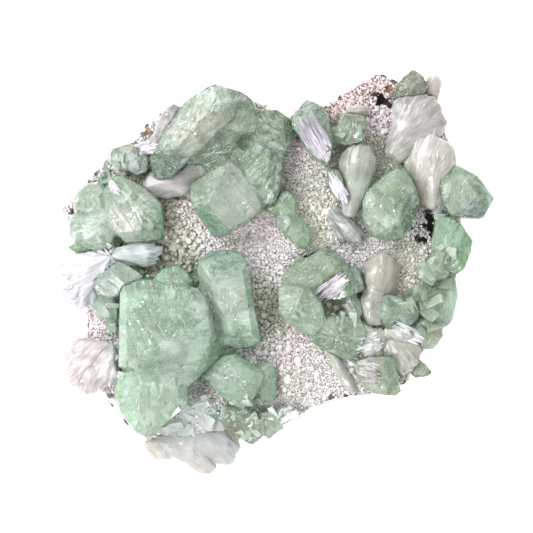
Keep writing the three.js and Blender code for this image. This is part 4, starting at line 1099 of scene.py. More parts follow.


# %% Seams: cracks, white streaks, painted highlights along edges and painted shade in clefts
DEEP, STAIN = (104, 140, 106), (120, 112, 92)
# Partly painted light: many of the white lines, along the crystals' edges and on faces that catch the light,
# are painted highlights, and some of the deep green ones, in the clefts between blocks, are painted shade.
# The brown stain lines are cracks, and the other white lines are streaks in the crystal.
SEAMS_AND_PAINTED_LIGHT = [
    # from, to, half width in mm, colour, strength
    ((-37.9, -23.2), (-32.8, -20.4), 0.5, FROST_AND_HIGHLIGHT, 0.5), ((-32.8, -20.4), (-26.5, -20.1), 0.4, FROST_AND_HIGHLIGHT, 0.45),
    ((-26.5, -20.1), (-20.2, -17.9), 0.4, FROST_AND_HIGHLIGHT, 0.4), ((-38, -22.6), (-34.5, -20.7), 0.25, DEEP, 0.8),
    ((-26.5, -4), (-18.6, -6.5), 0.35, FROST_AND_HIGHLIGHT, 0.4), ((-18.6, -6.5), (-17.7, -14.7), 0.4, DEEP, 0.45),
    ((-17.9, -14.7), (-20.2, -24.8), 0.45, FROST_AND_HIGHLIGHT, 0.4), ((-20.2, -24.8), (-24.9, -34.3), 0.5, FROST_AND_HIGHLIGHT, 0.4),
    ((-44.4, -6), (-44, -26), 0.3, FROST_AND_HIGHLIGHT, 0.5), ((-38, -23), (-46, -28.6), 0.4, DEEP, 0.5),
    ((-39, -30.5), (-36.9, -34.9), 0.4, FROST_AND_HIGHLIGHT, 0.5), ((-31.6, -26.7), (-25.9, -28), 0.5, FROST_AND_HIGHLIGHT, 0.6),
    ((-25.9, -28), (-25.3, -34.3), 0.4, FROST_AND_HIGHLIGHT, 0.5), ((-44, -27.5), (-33, -26), 0.6, DEEP, 0.4),
    ((-42, -26), (-36, -30), 0.3, FROST_AND_HIGHLIGHT, 0.5), ((-33, -40), (-29, -44), 0.4, FROST_AND_HIGHLIGHT, 0.4),
    ((-43, -12), (-39.5, -20), 0.3, FROST_AND_HIGHLIGHT, 0.35), ((-30, -12), (-24, -9.5), 0.3, FROST_AND_HIGHLIGHT, 0.35),
    ((-37, -17), (-36, -18), 0.25, DEEP, 0.8), ((-33, -10), (-29, -13), 0.5, DEEP, 0.4),
    ((-8.9, 4.5), (-5.4, -17), 0.35, FROST_AND_HIGHLIGHT, 0.6), ((-17.5, -7), (-16.4, -17), 0.35, FROST_AND_HIGHLIGHT, 0.5),
    ((-21, -1), (-17, 4.5), 0.3, FROST_AND_HIGHLIGHT, 0.5), ((-20, -3), (-15.5, 2), 0.25, FROST_AND_HIGHLIGHT, 0.4),
    ((-13, -15), (-12, -17.5), 0.5, FROST_AND_HIGHLIGHT, 0.9), ((-16.5, -17.4), (-15.8, -20), 0.6, DEEP, 0.9),
    ((-14, -18.5), (-9.5, -17.5), 0.7, DEEP, 0.6), ((-16, -1), (-13, -3), 0.9, FROST_AND_HIGHLIGHT, 0.5),
    ((-24.4, 42.4), (-20.4, 43.7), 0.3, STAIN, 0.9), ((-20.4, 43.7), (-16.5, 46), 0.25, STAIN, 0.7),
    ((-16.5, 46), (-9.9, 50), 0.3, FROST_AND_HIGHLIGHT, 0.6), ((-18.5, 50.5), (-14.5, 53), 1.3, FROST_AND_HIGHLIGHT, 0.75),
    ((-16.5, 48.5), (-12.5, 51), 0.4, FROST_AND_HIGHLIGHT, 0.6), ((-24, 39.6), (-21.4, 41.2), 0.8, FROST_AND_HIGHLIGHT, 0.85),
    ((-29, 28.5), (-24.4, 32.8), 0.4, FROST_AND_HIGHLIGHT, 0.4), ((-24.4, 32.8), (-17.8, 39.4), 0.35, FROST_AND_HIGHLIGHT, 0.6),
    ((-17.8, 39.4), (-11.8, 45.4), 0.5, FROST_AND_HIGHLIGHT, 0.6), ((-30, 36), (-22, 45), 0.5, FROST_AND_HIGHLIGHT, 0.35),
    ((-26, 35), (-14, 47), 0.6, FROST_AND_HIGHLIGHT, 0.3), ((-31.5, 33.5), (-30.5, 35.5), 0.7, DEEP, 0.9),
    ((-28, 29), (-25, 31), 0.5, DEEP, 0.7), ((-12.2, 32.5), (-5.6, 22.6), 0.35, FROST_AND_HIGHLIGHT, 0.7),
    ((-5.6, 22.6), (-2.9, 18), 0.35, FROST_AND_HIGHLIGHT, 0.6), ((-9.2, 34.1), (-5.2, 37.8), 0.3, FROST_AND_HIGHLIGHT, 0.5),
    ((-5.2, 37.8), (1.7, 33.5), 0.35, FROST_AND_HIGHLIGHT, 0.6), ((1.7, 33.2), (0.7, 26.9), 0.4, FROST_AND_HIGHLIGHT, 0.9),
    ((0.7, 26.9), (-2, 19.6), 0.4, FROST_AND_HIGHLIGHT, 0.8), ((0, 31), (-3.5, 26.5), 0.3, FROST_AND_HIGHLIGHT, 0.6),
    ((-0.5, 28), (-3.5, 23.5), 0.25, FROST_AND_HIGHLIGHT, 0.5), ((-4, 34), (-1, 31.5), 0.3, FROST_AND_HIGHLIGHT, 0.6),
    ((-13.2, 32.2), (-18.4, 21.6), 0.35, FROST_AND_HIGHLIGHT, 0.6), ((-11.8, 12.8), (-3, 17.7), 0.4, FROST_AND_HIGHLIGHT, 0.4),
    ((-12, 22), (-9, 19), 1.6, FROST_AND_HIGHLIGHT, 0.4), ((-20, 17), (-17.5, 14), 0.5, DEEP, 0.7),
    ((-22, 23), (-21, 19), 0.3, DEEP, 0.6), ((-7.2, 39.6), (3, 41), 0.5, DEEP, 0.5),
    ((-20, 33.5), (-11, 35.5), 0.35, FROST_AND_HIGHLIGHT, 0.5), ((-20, 33), (-13, 31.5), 0.3, FROST_AND_HIGHLIGHT, 0.4),
    ((-40.9, 18.9), (-39, 16.4), 0.4, FROST_AND_HIGHLIGHT, 0.6), ((-39, 16.4), (-38.7, 8.9), 0.35, FROST_AND_HIGHLIGHT, 0.5),
    ((-41.5, 24), (-33.3, 19.6), 0.35, FROST_AND_HIGHLIGHT, 0.7), ((-40.9, 21.5), (-35.2, 17.1), 0.3, FROST_AND_HIGHLIGHT, 0.6),
    ((-43, 23.5), (-36, 21.5), 0.25, FROST_AND_HIGHLIGHT, 0.6), ((-48.5, 17.7), (-42, 22.5), 0.5, FROST_AND_HIGHLIGHT, 0.7),
    ((-46, 20), (-41.5, 10), 0.4, FROST_AND_HIGHLIGHT, 0.5), ((-44, 18), (-40.5, 9), 0.3, FROST_AND_HIGHLIGHT, 0.5),
    ((-50, 14), (-44, 10), 0.5, FROST_AND_HIGHLIGHT, 0.6), ((-57, 15), (-49, 16.5), 0.4, FROST_AND_HIGHLIGHT, 0.6),
    ((-54, 24), (-49, 20), 0.4, FROST_AND_HIGHLIGHT, 0.6), ((-56, 10), (-49, 7), 0.4, FROST_AND_HIGHLIGHT, 0.5),
    ((4.8, -4), (10, -18), 0.4, FROST_AND_HIGHLIGHT, 0.4), ((13.8, -8.9), (14.2, -14), 0.3, FROST_AND_HIGHLIGHT, 0.5),
    ((14.2, -14), (10.9, -18), 0.3, FROST_AND_HIGHLIGHT, 0.5), ((22.8, 1), (25.3, -4.5), 0.35, FROST_AND_HIGHLIGHT, 0.6),
    ((25.3, -5), (17, -8.2), 0.4, DEEP, 0.5), ((6, 2), (13, 4), 0.35, FROST_AND_HIGHLIGHT, 0.5),
    ((14, -16), (23, -23), 0.4, FROST_AND_HIGHLIGHT, 0.4), ((17, -13), (22, -21), 0.5, DEEP, 0.5),
    ((30, 12.5), (39, 10.5), 0.5, FROST_AND_HIGHLIGHT, 0.4), ((37.5, 12), (39, 20), 0.5, DEEP, 0.7),
    ((29, 24), (36, 27), 0.4, FROST_AND_HIGHLIGHT, 0.5), ((48, 21), (56, 28), 0.4, FROST_AND_HIGHLIGHT, 0.5),
    ((54, 16), (60, 22), 0.4, FROST_AND_HIGHLIGHT, 0.4), ((50, 17), (57, 16), 0.5, DEEP, 0.5),
    ((30.8, -6.2), (40.5, -11), 0.35, FROST_AND_HIGHLIGHT, 0.6), ((40.6, -15.6), (47.6, -13.2), 0.5, FROST_AND_HIGHLIGHT, 0.7),
    ((47, 12), (53, 3), 0.4, FROST_AND_HIGHLIGHT, 0.5), ((45, 8), (50, -2), 0.4, FROST_AND_HIGHLIGHT, 0.5),
    ((0, 10.5), (-3.5, 17), 0.35, FROST_AND_HIGHLIGHT, 0.5), ((-4, 19), (2, 22), 0.35, FROST_AND_HIGHLIGHT, 0.6),
    ((-20, -25.5), (-12, -24.5), 0.35, FROST_AND_HIGHLIGHT, 0.5), ((-19, -28), (-15, -33), 0.6, FROST_AND_HIGHLIGHT, 0.6),
    ((-14, -27), (-9, -31), 0.6, FROST_AND_HIGHLIGHT, 0.5), ((27, 24.5), (34, 27.4), 0.4, FROST_AND_HIGHLIGHT, 0.6),
    ((34, 27.4), (39.9, 22.3), 0.4, FROST_AND_HIGHLIGHT, 0.6), ((39.9, 22.3), (39.3, 16), 0.35, FROST_AND_HIGHLIGHT, 0.5),
    ((33.7, 21), (31.6, 11), 0.5, FROST_AND_HIGHLIGHT, 0.5), ((35.5, 21), (34.5, 11), 0.6, DEEP, 0.5),
    ((28, 22), (29.5, 13), 1.2, FROST_AND_HIGHLIGHT, 0.35), ((50, 26.5), (56.6, 27.4), 0.4, FROST_AND_HIGHLIGHT, 0.5),
    ((56.6, 27.4), (62, 22.5), 0.35, FROST_AND_HIGHLIGHT, 0.5), ((53.7, 22.5), (56.6, 18), 0.3, FROST_AND_HIGHLIGHT, 0.5),
    ((58, 24), (60.5, 21), 0.8, DEEP, 0.6), ((27, -23.5), (29, -31), 0.8, FROST_AND_HIGHLIGHT, 0.5),
    ((31, -24), (33, -32), 0.3, FROST_AND_HIGHLIGHT, 0.4), ((3.5, 47), (9, 50), 0.4, DEEP, 0.5),
]


def with_seams_and_painted_light(tint, points):
    """The tint with the seams and the painted edge light in it: colour mixed in by strength, less with the
    distance from the line and where a noise breaks it up. A second noise bends the lines a little."""
    bent = points[:, :2] + 0.3 * MM * np.column_stack([waves(points, 4 * MM, 61), waves(points, 4 * MM, 62)])
    broken = np.clip(0.75 + 0.5 * waves(points, 1.2 * MM, 63), 0.1, 1)
    for first, last, half, colour, strength in SEAMS_AND_PAINTED_LIGHT:
        start, end = on_plate([first, last])[:, :2]
        run = end - start
        way = np.clip((bent - start) @ run / (run @ run), 0, 1)
        off = np.linalg.norm(bent - start - way[:, None] * run, axis=1)
        share = strength * broken * np.clip(1.5 - off / (half * MM), 0, 1)
        tint = tint + (light_of(colour) - tint) * share[:, None]
    return tint


print("seams:", len(SEAMS_AND_PAINTED_LIGHT))

# %% Grow the crystals' skins
CRYSTAL_SQUARE = 0.3 * MM
SWELL = 0.14 * MM  # makes up for what the squares cut off at the edges
WEB = 0.8 * MM
WIDE_WEBS = {"north_group": 1.8 * MM}
# Painted highlight along the edges: the share by which they are made whiter.
EDGE_HIGHLIGHT = 0.28  # how white the edges are, 0 to 1
# Painted light: steep faces are tinted by these shares, and level ones are made brighter.
PAINTED_FLANK_TINT = (0.22, -0.06, 0.14)  # what a steep face loses of red, green and blue
CREASE = np.radians(15)
CLEAR_GROWTHS = ("south_tips", "south_east_tip", "north_east_tip", "north_west_bud")


def grow_skin(node, growth, seed):
    """Cut a node's surface fine, mark its faces and tint it: patches, a tone for each face, painted light by
    steepness and painted highlights on the edges.
    """
    piece = fine_copy(node, f"{growth}_crystals", CRYSTAL_SQUARE, WIDE_WEBS.get(growth, WEB))
    points, normals = corners_of(piece.data)
    planes = planes_of(node)
    facet, edge = facet_of(points, normals, planes)
    lie = lie_on(points, facet, planes, seed)
    tone = np.random.default_rng(seed).uniform(0.84, 1.1, len(planes[0]))[facet]
    face_tint = tint_of(growth, middles_of(points, facet, len(planes[0])))
    flank = 1 - np.clip(normals[:, 2], 0, 1)
    move_corners(piece.data, points + normals * (SWELL + grown_faces(points, lie, facet))[:, None])
    tint = paled(0.6 * tint_of(growth, points) + 0.4 * face_tint) * tone[:, None]
    # Painted light: level faces are made 6 per cent brighter and steep ones greener, for how the light falls
    # on the tops and crosses more crystal at the sides.
    tint *= 1.06 - flank[:, None] * PAINTED_FLANK_TINT
    tint = marked(tint, points, lie, facet, seed)
    # Painted highlight: the edges turn whiter, broken up by a noise.
    frost_and_edge_highlight = EDGE_HIGHLIGHT * edge * np.clip(0.6 + 0.5 * waves(points, 2 * MM, 64), 0, 1)
    tint += (light_of(FROST_AND_HIGHLIGHT) - tint) * frost_and_edge_highlight[:, None]
    tinted(piece.data, with_seams_and_painted_light(tint, points))
    laid(piece.data, lie)
    piece.data.set_sharp_from_angle(angle=CREASE)
    settle(piece, clear_apophyllite if growth in CLEAR_GROWTHS else milky_apophyllite, [node])
    return len(piece.data.polygons)


print("growths of clear crystal:", len(CLEAR_GROWTHS))

# %% [markdown]
# ## Pieces: the veils
# A healed crack in a crystal is a thin sheet of tiny cavities that catches the light. Here it is a thin,
# slightly bent disc around a random point inside the solid. A ray along each of its spokes tells how far the
# crystal goes, so that no veil comes out of its crystal.

# %% Hang the veils
SPOKES = 12
VEIL_REACH = 7 * MM
VEIL_HALF = 0.02 * MM  # half its thickness
VEILS_PER_CUBIC_MM = 0.01
VEIL_LIMITS = (6, 200)  # fewest and most in one growth
TRIES = 1500


def inside_points(node, rng):
    """Random points inside a node, as many as its volume asks for, and the solid as a target for rays. A ray
    up from a point inside meets an outward face from below, and their share gives the volume."""
    solid = ray_target([node])
    low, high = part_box(node)
    points = rng.uniform(low, high, (TRIES, 3))
    hits = [solid.ray_cast(Vector(point), UP) for point in points]
    inside = np.array([hit[0] is not None and hit[1].z > 0 for hit in hits])
    volume = np.prod(np.array(high - low) / MM) * inside.mean()
    return points[inside][: int(np.clip(volume * VEILS_PER_CUBIC_MM, *VEIL_LIMITS))], solid


def veils_of(node, reach, rng):
    """Discs, closed at the rim: corner = centre + spoke direction * ring * spoke length."""
    centres, solid = inside_points(node, rng)
    turn = turns(rng.normal(size=centres.shape), 0.1, rng)
    angle = np.arange(SPOKES)[None, :, None] * 2 * np.pi / SPOKES
    spokes = np.cos(angle) * turn[:, None, :, 0] + np.sin(angle) * turn[:, None, :, 1]
    lengths = reach * rng.uniform(0.25, 1, (len(centres), 1)) ** 1.5
    lengths = lengths * rng.uniform(0.5, 1, (len(centres), SPOKES))
    room = [[solid.ray_cast(Vector(c), Vector(d))[3] or 0 for d in row] for c, row in zip(centres, spokes)]
    lengths = np.minimum(lengths, 0.8 * np.array(room))
    rim = centres[:, None] + lengths[..., None] * spokes
    middle = centres[:, None] + 0.5 * lengths[..., None] * spokes
    dish = 0.12 * lengths.min(axis=1)
    lift = (VEIL_HALF + dish)[:, None, None] * turn[:, None, :, 2]
    drop = (VEIL_HALF - dish)[:, None, None] * turn[:, None, :, 2]
    corners = np.concatenate([middle + lift, rim, middle - drop], axis=1)
    _, faces = stacked_rings(np.zeros((SPOKES, 2)), [(0, 1)] * 3)
    faces = facing_out(corners[0], faces)
    return corners.reshape(-1, 3), repeated(faces, len(centres), corners.shape[1])


# %% Grow every block, with its veils
for number, node in enumerate(n for n in growth_names if n.startswith("apophyllite")):
    growth = node.split("_", 1)[1]
    skin_faces = grow_skin(node, growth, 100 + number)
    corners, faces = veils_of(node, VEIL_REACH, np.random.default_rng(300 + number))
    shade = 0.35 * tint_of(growth, corners) + 0.6
    put_up(f"{growth}_veils", corners, faces, veil, shade, smooth=True)
    print(growth, skin_faces, "faces of skin,", len(faces), "of veils")

# %% [markdown]
# ## Pieces: the young crystals
# Around the feet of the big blocks, and half grown into their rough faces, sit many smaller crystals of the
# same kind: square blocks with bevelled edges and a slanting top. One such block is copied to every place.
# Each place is a disc on the plate, in which a number of blocks are strewn. How far they lean, how deep
# their feet are sunk and how thick they are differs from side to side of the plate.

# %% One young crystal, and where they grow
BLOCK_OUTLINE = np.array([
    (0.5, 0.34), (0.44, 0.42), (-0.36, 0.5), (-0.44, 0.44),
    (-0.5, -0.32), (-0.44, -0.42), (0.34, -0.5), (0.42, -0.45),
])
young_block = solid_of(BLOCK_OUTLINE, [(-0.5, 0.95), (0.36, 1.0), (0.46, 0.9), (0.5, 0.4)])
x, y, z = young_block[0].T
young_block[0][:, 2] += 0.5 * (x + 0.5 * y) * (z > 0)  # the slanting top
CLEAR_WHITE, GREY_GREEN, SILVER, LEAFY, BOTTLE = (
    (234, 242, 234), (176, 194, 172), (206, 224, 206), (192, 210, 178), (164, 184, 152),
)
YOUNG = {
    # place, reach, how many, size in mm, colour
    "north_west_youngs": [
        ((-50.5, 27.5), 3, 5, 3.6, SILVER), ((-46.5, 28.5), 3, 5, 3.4, SILVER),
        ((-41.5, 30.5), 2.5, 4, 3.0, CLEAR_WHITE), ((-34, 44), 3, 12, 2.0, CLEAR_WHITE),
        ((-30, 46.5), 3, 8, 2.0, CLEAR_WHITE), ((-45, 33), 2.5, 4, 2.6, SILVER),
    ],
    "west_youngs": [
        ((-48, 11), 3.5, 5, 3.0, SILVER), ((-57, 19), 3, 3, 3.6, SILVER), ((-46.5, -12), 3, 6, 3.0, SILVER),
        ((-47, -19), 3, 6, 2.8, SILVER), ((-46, -25), 2.5, 6, 2.4, CLEAR_WHITE),
        ((-44.5, -31), 2.5, 5, 2.4, CLEAR_WHITE),
    ],
    "south_youngs": [
        ((-27, -43), 4.5, 14, 4.6, CLEAR_WHITE), ((-18.5, -42), 4.5, 14, 4.6, CLEAR_WHITE),
        ((-22, -40), 3, 8, 3.4, CLEAR_WHITE), ((-12, -41.5), 4, 14, 2.2, GREY_GREEN),
        ((-5, -40), 5, 10, 3.0, GREY_GREEN), ((-8, -36.5), 3, 6, 3.0, GREY_GREEN),
        ((2, -40.5), 4, 8, 2.6, CLEAR_WHITE), ((-8, -46.5), 3, 5, 3.0, GREY_GREEN),
    ],
    "east_youngs": [
        ((45.5, 1), 3.5, 8, 5.0, LEAFY), ((46, -6), 4, 10, 5.0, BOTTLE), ((44, -14), 4, 7, 5.0, BOTTLE),
        ((41, -8), 3, 5, 4.5, LEAFY), ((49, 5), 3, 5, 5.0, LEAFY), ((37, -13), 3, 3, 4.4, BOTTLE),
        ((48, -3), 3, 5, 4.5, LEAFY), ((49.5, 22.5), 2.2, 4, 2.4, CLEAR_WHITE),
        ((49, 17), 2, 3, 2.2, CLEAR_WHITE), ((48.3, 27), 0.5, 1, 3.0, SILVER),
    ],
    "centre_youngs": [
        ((21, -14), 3, 6, 3.4, SILVER), ((24.5, -8), 2.5, 4, 3.0, GREY_GREEN),
        ((28, -14), 2.5, 4, 3.0, CLEAR_WHITE), ((36, -15), 3, 5, 3.0, CLEAR_WHITE),
        ((26, -20), 3, 6, 3.0, CLEAR_WHITE), ((19.5, 38), 3, 5, 3.4, SILVER),
        ((24.5, 40), 2.5, 4, 3.2, SILVER),
    ],
}
print("patches of young crystals:", sum(len(patches) for patches in YOUNG.values()))

# %% How the young crystals stand
YOUNG_HABIT = {
    # how much they lean, the share of their height that is sunk, and how thick they are for their width
    "centre_youngs": (0.9, 0.3, 0.4),
    "east_youngs": (0.4, 0.05, 0.4),
    "south_youngs": (0.3, 0, 0.4),
}
USUAL_HABIT = (0.4, 0.15, 0.7)
RING_TONES = (0.85, 1.05, 1.15, 0.9)  # from the foot of a block to its top


def young_crystals(patches, lean, sink, thick, rng):
    """Blocks strewn in discs on the surface, leant from its normal and sunk by a share of their height."""
    middles, reaches, counts, sizes, colours = (np.array(column) for column in zip(*patches))
    places, normal, which = scattered(middles, reaches, counts, 0.2, rng)
    size = sizes[which] * MM * rng.uniform(0.6, 1.3, len(which))
    scale = size[:, None] * rng.uniform((0.7, 0.4, 0.5), (1.5, 0.8, 1.0), (len(size), 3)) * (1, 1, thick)
    places -= normal * (sink * scale[:, 2])[:, None]
    corners, faces = copies(*young_block, places, turns(normal, lean, rng), scale)
    tint = light_of(colours[which]) * rng.uniform(0.82, 1.2, (len(size), 1))
    rim = np.repeat(RING_TONES, len(BLOCK_OUTLINE))
    return corners, faces, np.repeat(tint, len(rim), axis=0) * np.tile(rim, len(size))[:, None]


# %% Grow the young crystals
for number, (name, patches) in enumerate(YOUNG.items()):
    lean, sink, thick = YOUNG_HABIT.get(name, USUAL_HABIT)
    corners, faces, tint = young_crystals(patches, lean, sink, thick, np.random.default_rng(900 + number))
    skin = frosted_apophyllite if name == "south_youngs" else milky_apophyllite
    put_up(name, corners, faces, skin, paled(tint), lie=corners[:, :2])
    print(name, len(faces), "faces")

# %% [markdown]
# ## Pieces: the stilbite sheaves
# A sheaf is a bundle of flat blades bound at the root and fanned at the tip, so tightly packed that it looks
# like combed silk. A bundle of separate blades would look like a broom. So a sheaf is its own solid cut fine
# and rounded, with ridges that run along the fibres and a frayed rim. The fibres spread like rays from a
# root: how far a corner is from the root, and in which direction, are its coordinates along and across the
# fibres.

# %% Blades, all at once
BLADE_SECTION = np.array([(1, 0), (0.45, 1), (-0.45, 1), (-1, 0), (-0.45, -1), (0.45, -1)])
BLADE_WAY = np.array([0, 0.2, 0.45, 0.7, 0.88, 0.96, 1])
BLADE_WIDTH = np.array([0.35, 0.6, 0.85, 1, 1, 0.8, 0.4])


def blades(roots, tips, ups, widths, depths):
    """Corner = root + way (tip - root) + section, scaled by width and depth along the way."""
    run = tips - roots
    forward = run / np.linalg.norm(run, axis=1, keepdims=True)
    side = np.cross(forward, ups)
    side /= np.linalg.norm(side, axis=1, keepdims=True)
    up = np.cross(side, forward)
    middle = roots[:, None] + BLADE_WAY[None, :, None] * run[:, None]
    across = BLADE_WIDTH[None, :, None] * BLADE_SECTION[None, None, :, 0] * widths[:, None, None] / 2
    above = BLADE_WIDTH[None, :, None] * BLADE_SECTION[None, None, :, 1] * depths[:, None, None] / 2
    corners = middle[:, :, None] + across[..., None] * side[:, None, None]
    corners = corners + above[..., None] * up[:, None, None]
    _, faces = stacked_rings(BLADE_SECTION, [(0, 1)] * len(BLADE_WAY))
    count = len(BLADE_WAY) * len(BLADE_SECTION)
    faces = facing_out(corners[0].reshape(-1, 3), faces)
    return corners.reshape(-1, 3), repeated(faces, len(roots), count), count


print("corners of one blade:", len(BLADE_WAY) * len(BLADE_SECTION))

# %% How the sheaves lie
# Each growth: the root of its fibres on the plate, the main direction in degrees, the distance in mm at
# which the fibres have their usual width, how they curl in degrees per mm, how ragged they are, and how far
# the solid is rounded. Then patches of colour.
SHEAVES = {
    "west_bow": ((-47.6, 4.4), -90, 9, 0.6, 1.0, 12),
    "south_west_fan": ((-38, -15), -145, 20, -0.5, 0.6, 20),
    "south_fan": ((-58, -36), -22, 34, 0.3, 0.35, 34),
    "north_west_wedge": ((-36, 34), 60, 10, 0.5, 0.5, 12),
    "sparkling_tuft": ((-31, 34), 170, 8, 0, 1.0, 6),
    "grey_band": ((-4, 38.5), -153, 20, 0.4, 0.3, 16),
    "north_east_upper_fan": ((24, 20), 52, 24, 0.3, 0.4, 26),
    "north_east_lower_fan": ((48, 8), 100, 18, 1.1, 0.4, 26),
    "north_east_point": ((43, 46), 60, 8, 0, 0.3, 8),
    "small_beige_tip": ((12, 46), 0, 14, 0, 0.3, 6),
    "pale_column": ((17, -12), 83, 40, 0.2, 0.15, 24),
    "middle_column": ((26, -42), 84, 40, 0.1, 0.05, 34),
    "south_east_rosette": ((31, -15.5), -50, 8, 0, 0.45, 12),
    "cream_blade": ((2, 6), -61, 40, 0, 0, 12),
    "grey_blades": ((10, 24), -48, 16, 0, 0.3, 12),
}
SHEAF_PATCHES = {
    "west_bow": [
        ((-55, -3), 7, (186, 185, 190)), ((-40, 5), 5, (170, 178, 178)), ((-58, -6), 3, (168, 162, 168)),
    ],
    "south_west_fan": [((-52, -27), 7, (178, 168, 168)), ((-47, -20), 4, (168, 172, 168))],
    "south_fan": [
        ((-30, -49), 4, (186, 188, 182)), ((-16, -49), 5, (176, 180, 180)),
        ((-19, -55), 3, (174, 170, 162)), ((-35, -51), 3, (172, 166, 158)),
    ],
    "north_west_wedge": [((-31, 42), 5, (146, 144, 142))],
    "sparkling_tuft": [((-37, 35), 5, (186, 184, 192))],
    "grey_band": [((-20, 31), 6, (141, 143, 138)), ((-33, 26), 5, (157, 153, 153))],
    # Painted highlight: the lighter patch at (40, 42) in the middle of this fan; the patches round it are
    # darker.
    "north_east_upper_fan": [
        ((40, 42), 4, (172, 167, 164)), ((45, 49), 4, (150, 146, 142)), ((34, 35), 4, (150, 152, 146)),
        ((34, 47), 4, (146, 144, 142)),
    ],
    "north_east_lower_fan": [
        ((45, 33), 6, (175, 172, 165)), ((46, 20), 5, (162, 158, 148)), ((40, 34), 3, (163, 160, 153)),
    ],
    "north_east_point": [((46, 53), 3, (167, 162, 155))],
    "small_beige_tip": [((24, 46), 3, (146, 141, 129))],
    "pale_column": [
        ((24, 32), 6, (141, 146, 138)), ((22, 20), 6, (149, 151, 144)), ((25, 25), 2, (184, 191, 184)),
    ],
    "middle_column": [((31, 3), 5, (150, 147, 138)), ((29, -10), 6, (133, 134, 124))],
    "south_east_rosette": [((36, -20), 5, (162, 164, 154)), ((40, -26), 3, (148, 146, 134))],
    "cream_blade": [((20, -30), 5, (151, 153, 143))],
    "grey_blades": [((20, 12), 4, (130, 134, 128)), ((18, 16), 3, (138, 142, 136))],
}
print("sheaves in the table:", len(SHEAVES))

# %% The fibres of a sheaf, and its shape


def fibres_of(points, root, main, spread, curl):
    """Across and along the fibres, in metres: along is the distance from the root, and across is the angle
    from the main direction, plus the curl, times the usual distance."""
    away = points[:, :2] - on_plate([root])[0, :2]
    along = np.linalg.norm(away, axis=1)
    c, s = np.cos(np.radians(main)), np.sin(np.radians(main))
    angle = np.arctan2(c * away[:, 1] - s * away[:, 0], c * away[:, 0] + s * away[:, 1])
    angle += np.radians(curl) * along / MM
    return np.column_stack([angle * spread * MM, along])


WIDER = {  # where a sheaf stands out further than its solid: direction in degrees, mm, place, reach in mm
    "north_east_upper_fan": [(-45, 1.8, (38, 38), 40)],
    "north_east_lower_fan": [(140, 1.6, (42, 26), 40)],
    "middle_column": [(185, 2.2, (28.5, -10.5), 4), (-5, 1.2, (29.5, -10), 4)],
}
SHORTER = {"north_east_lower_fan": 20.5}  # where the foot is squeezed up to, in mm


def widened(points, normals, growth):
    """Near each place, corners whose normal has the given direction move that way, and the more the better
    the two agree. A foot that reaches past its line keeps only 3 tenths of the distance to it."""
    for degrees, far, place, reach in WIDER.get(growth, []):
        way = np.array([np.cos(np.radians(degrees)), np.sin(np.radians(degrees)), 0])
        off = np.linalg.norm((points - on_plate([place])[0])[:, :2], axis=1) / (reach * MM)
        points = points + (np.clip(normals @ way, 0, 1) ** 0.5 * np.exp(-off**4))[:, None] * way * far * MM
    if growth in SHORTER:
        line = on_plate([(0, SHORTER[growth])])[0, 1]
        points[:, 1] = np.where(points[:, 1] < line, line + 0.3 * (points[:, 1] - line), points[:, 1])
    return points


def forwards(points, root):
    """Level direction away from the root at each point."""
    away = points - on_plate([root])[0]
    away[:, 2] = 0
    return away / np.linalg.norm(away, axis=1, keepdims=True)


SWOLLEN = 0.45  # mm, to make up for what the rounding takes away


def combed(points, normals, lie, root, ragged, seed):
    """New places of a sheaf's corners: lobes, ridges and fine lines along the fibres, moved along the normal,
    and a rim that is frayed outwards, by noise that differs from fibre to fibre."""
    across = lie[:, 0] + 0.35 * MM * stripes(lie[:, 1], 9 * MM, seed)
    ridges = (0.05 + 0.1 * ragged) * stripes(across, 4.5 * MM, seed + 1)
    ridges += (0.015 + 0.035 * ragged) * stripes(across, 1.6 * MM, seed + 2)
    ridges += 0.01 * stripes(across, 0.8 * MM, seed + 3)
    swell = SWOLLEN + 0.18 * waves(points, 7 * MM, seed + 4)
    outward = forwards(points, root)
    rim = np.clip((normals * outward).sum(axis=1), 0, 1)
    frayed = 0.5 * stripes(across, 3 * MM, seed + 5) + 0.4 * stripes(across, 1 * MM, seed + 6)
    points = points + normals * ((ridges + swell) * MM)[:, None]
    return points + outward * (ragged * rim * frayed * MM)[:, None]


def rounded(piece, times):
    """Smooth a piece's corners so many times, so that the flat faces of the solid flow into each other."""
    soft = piece.modifiers.new("rounded", "SMOOTH")
    soft.factor, soft.iterations = 0.5, times
    mesh = evaluated(piece)
    piece.modifiers.clear()
    piece.data = mesh


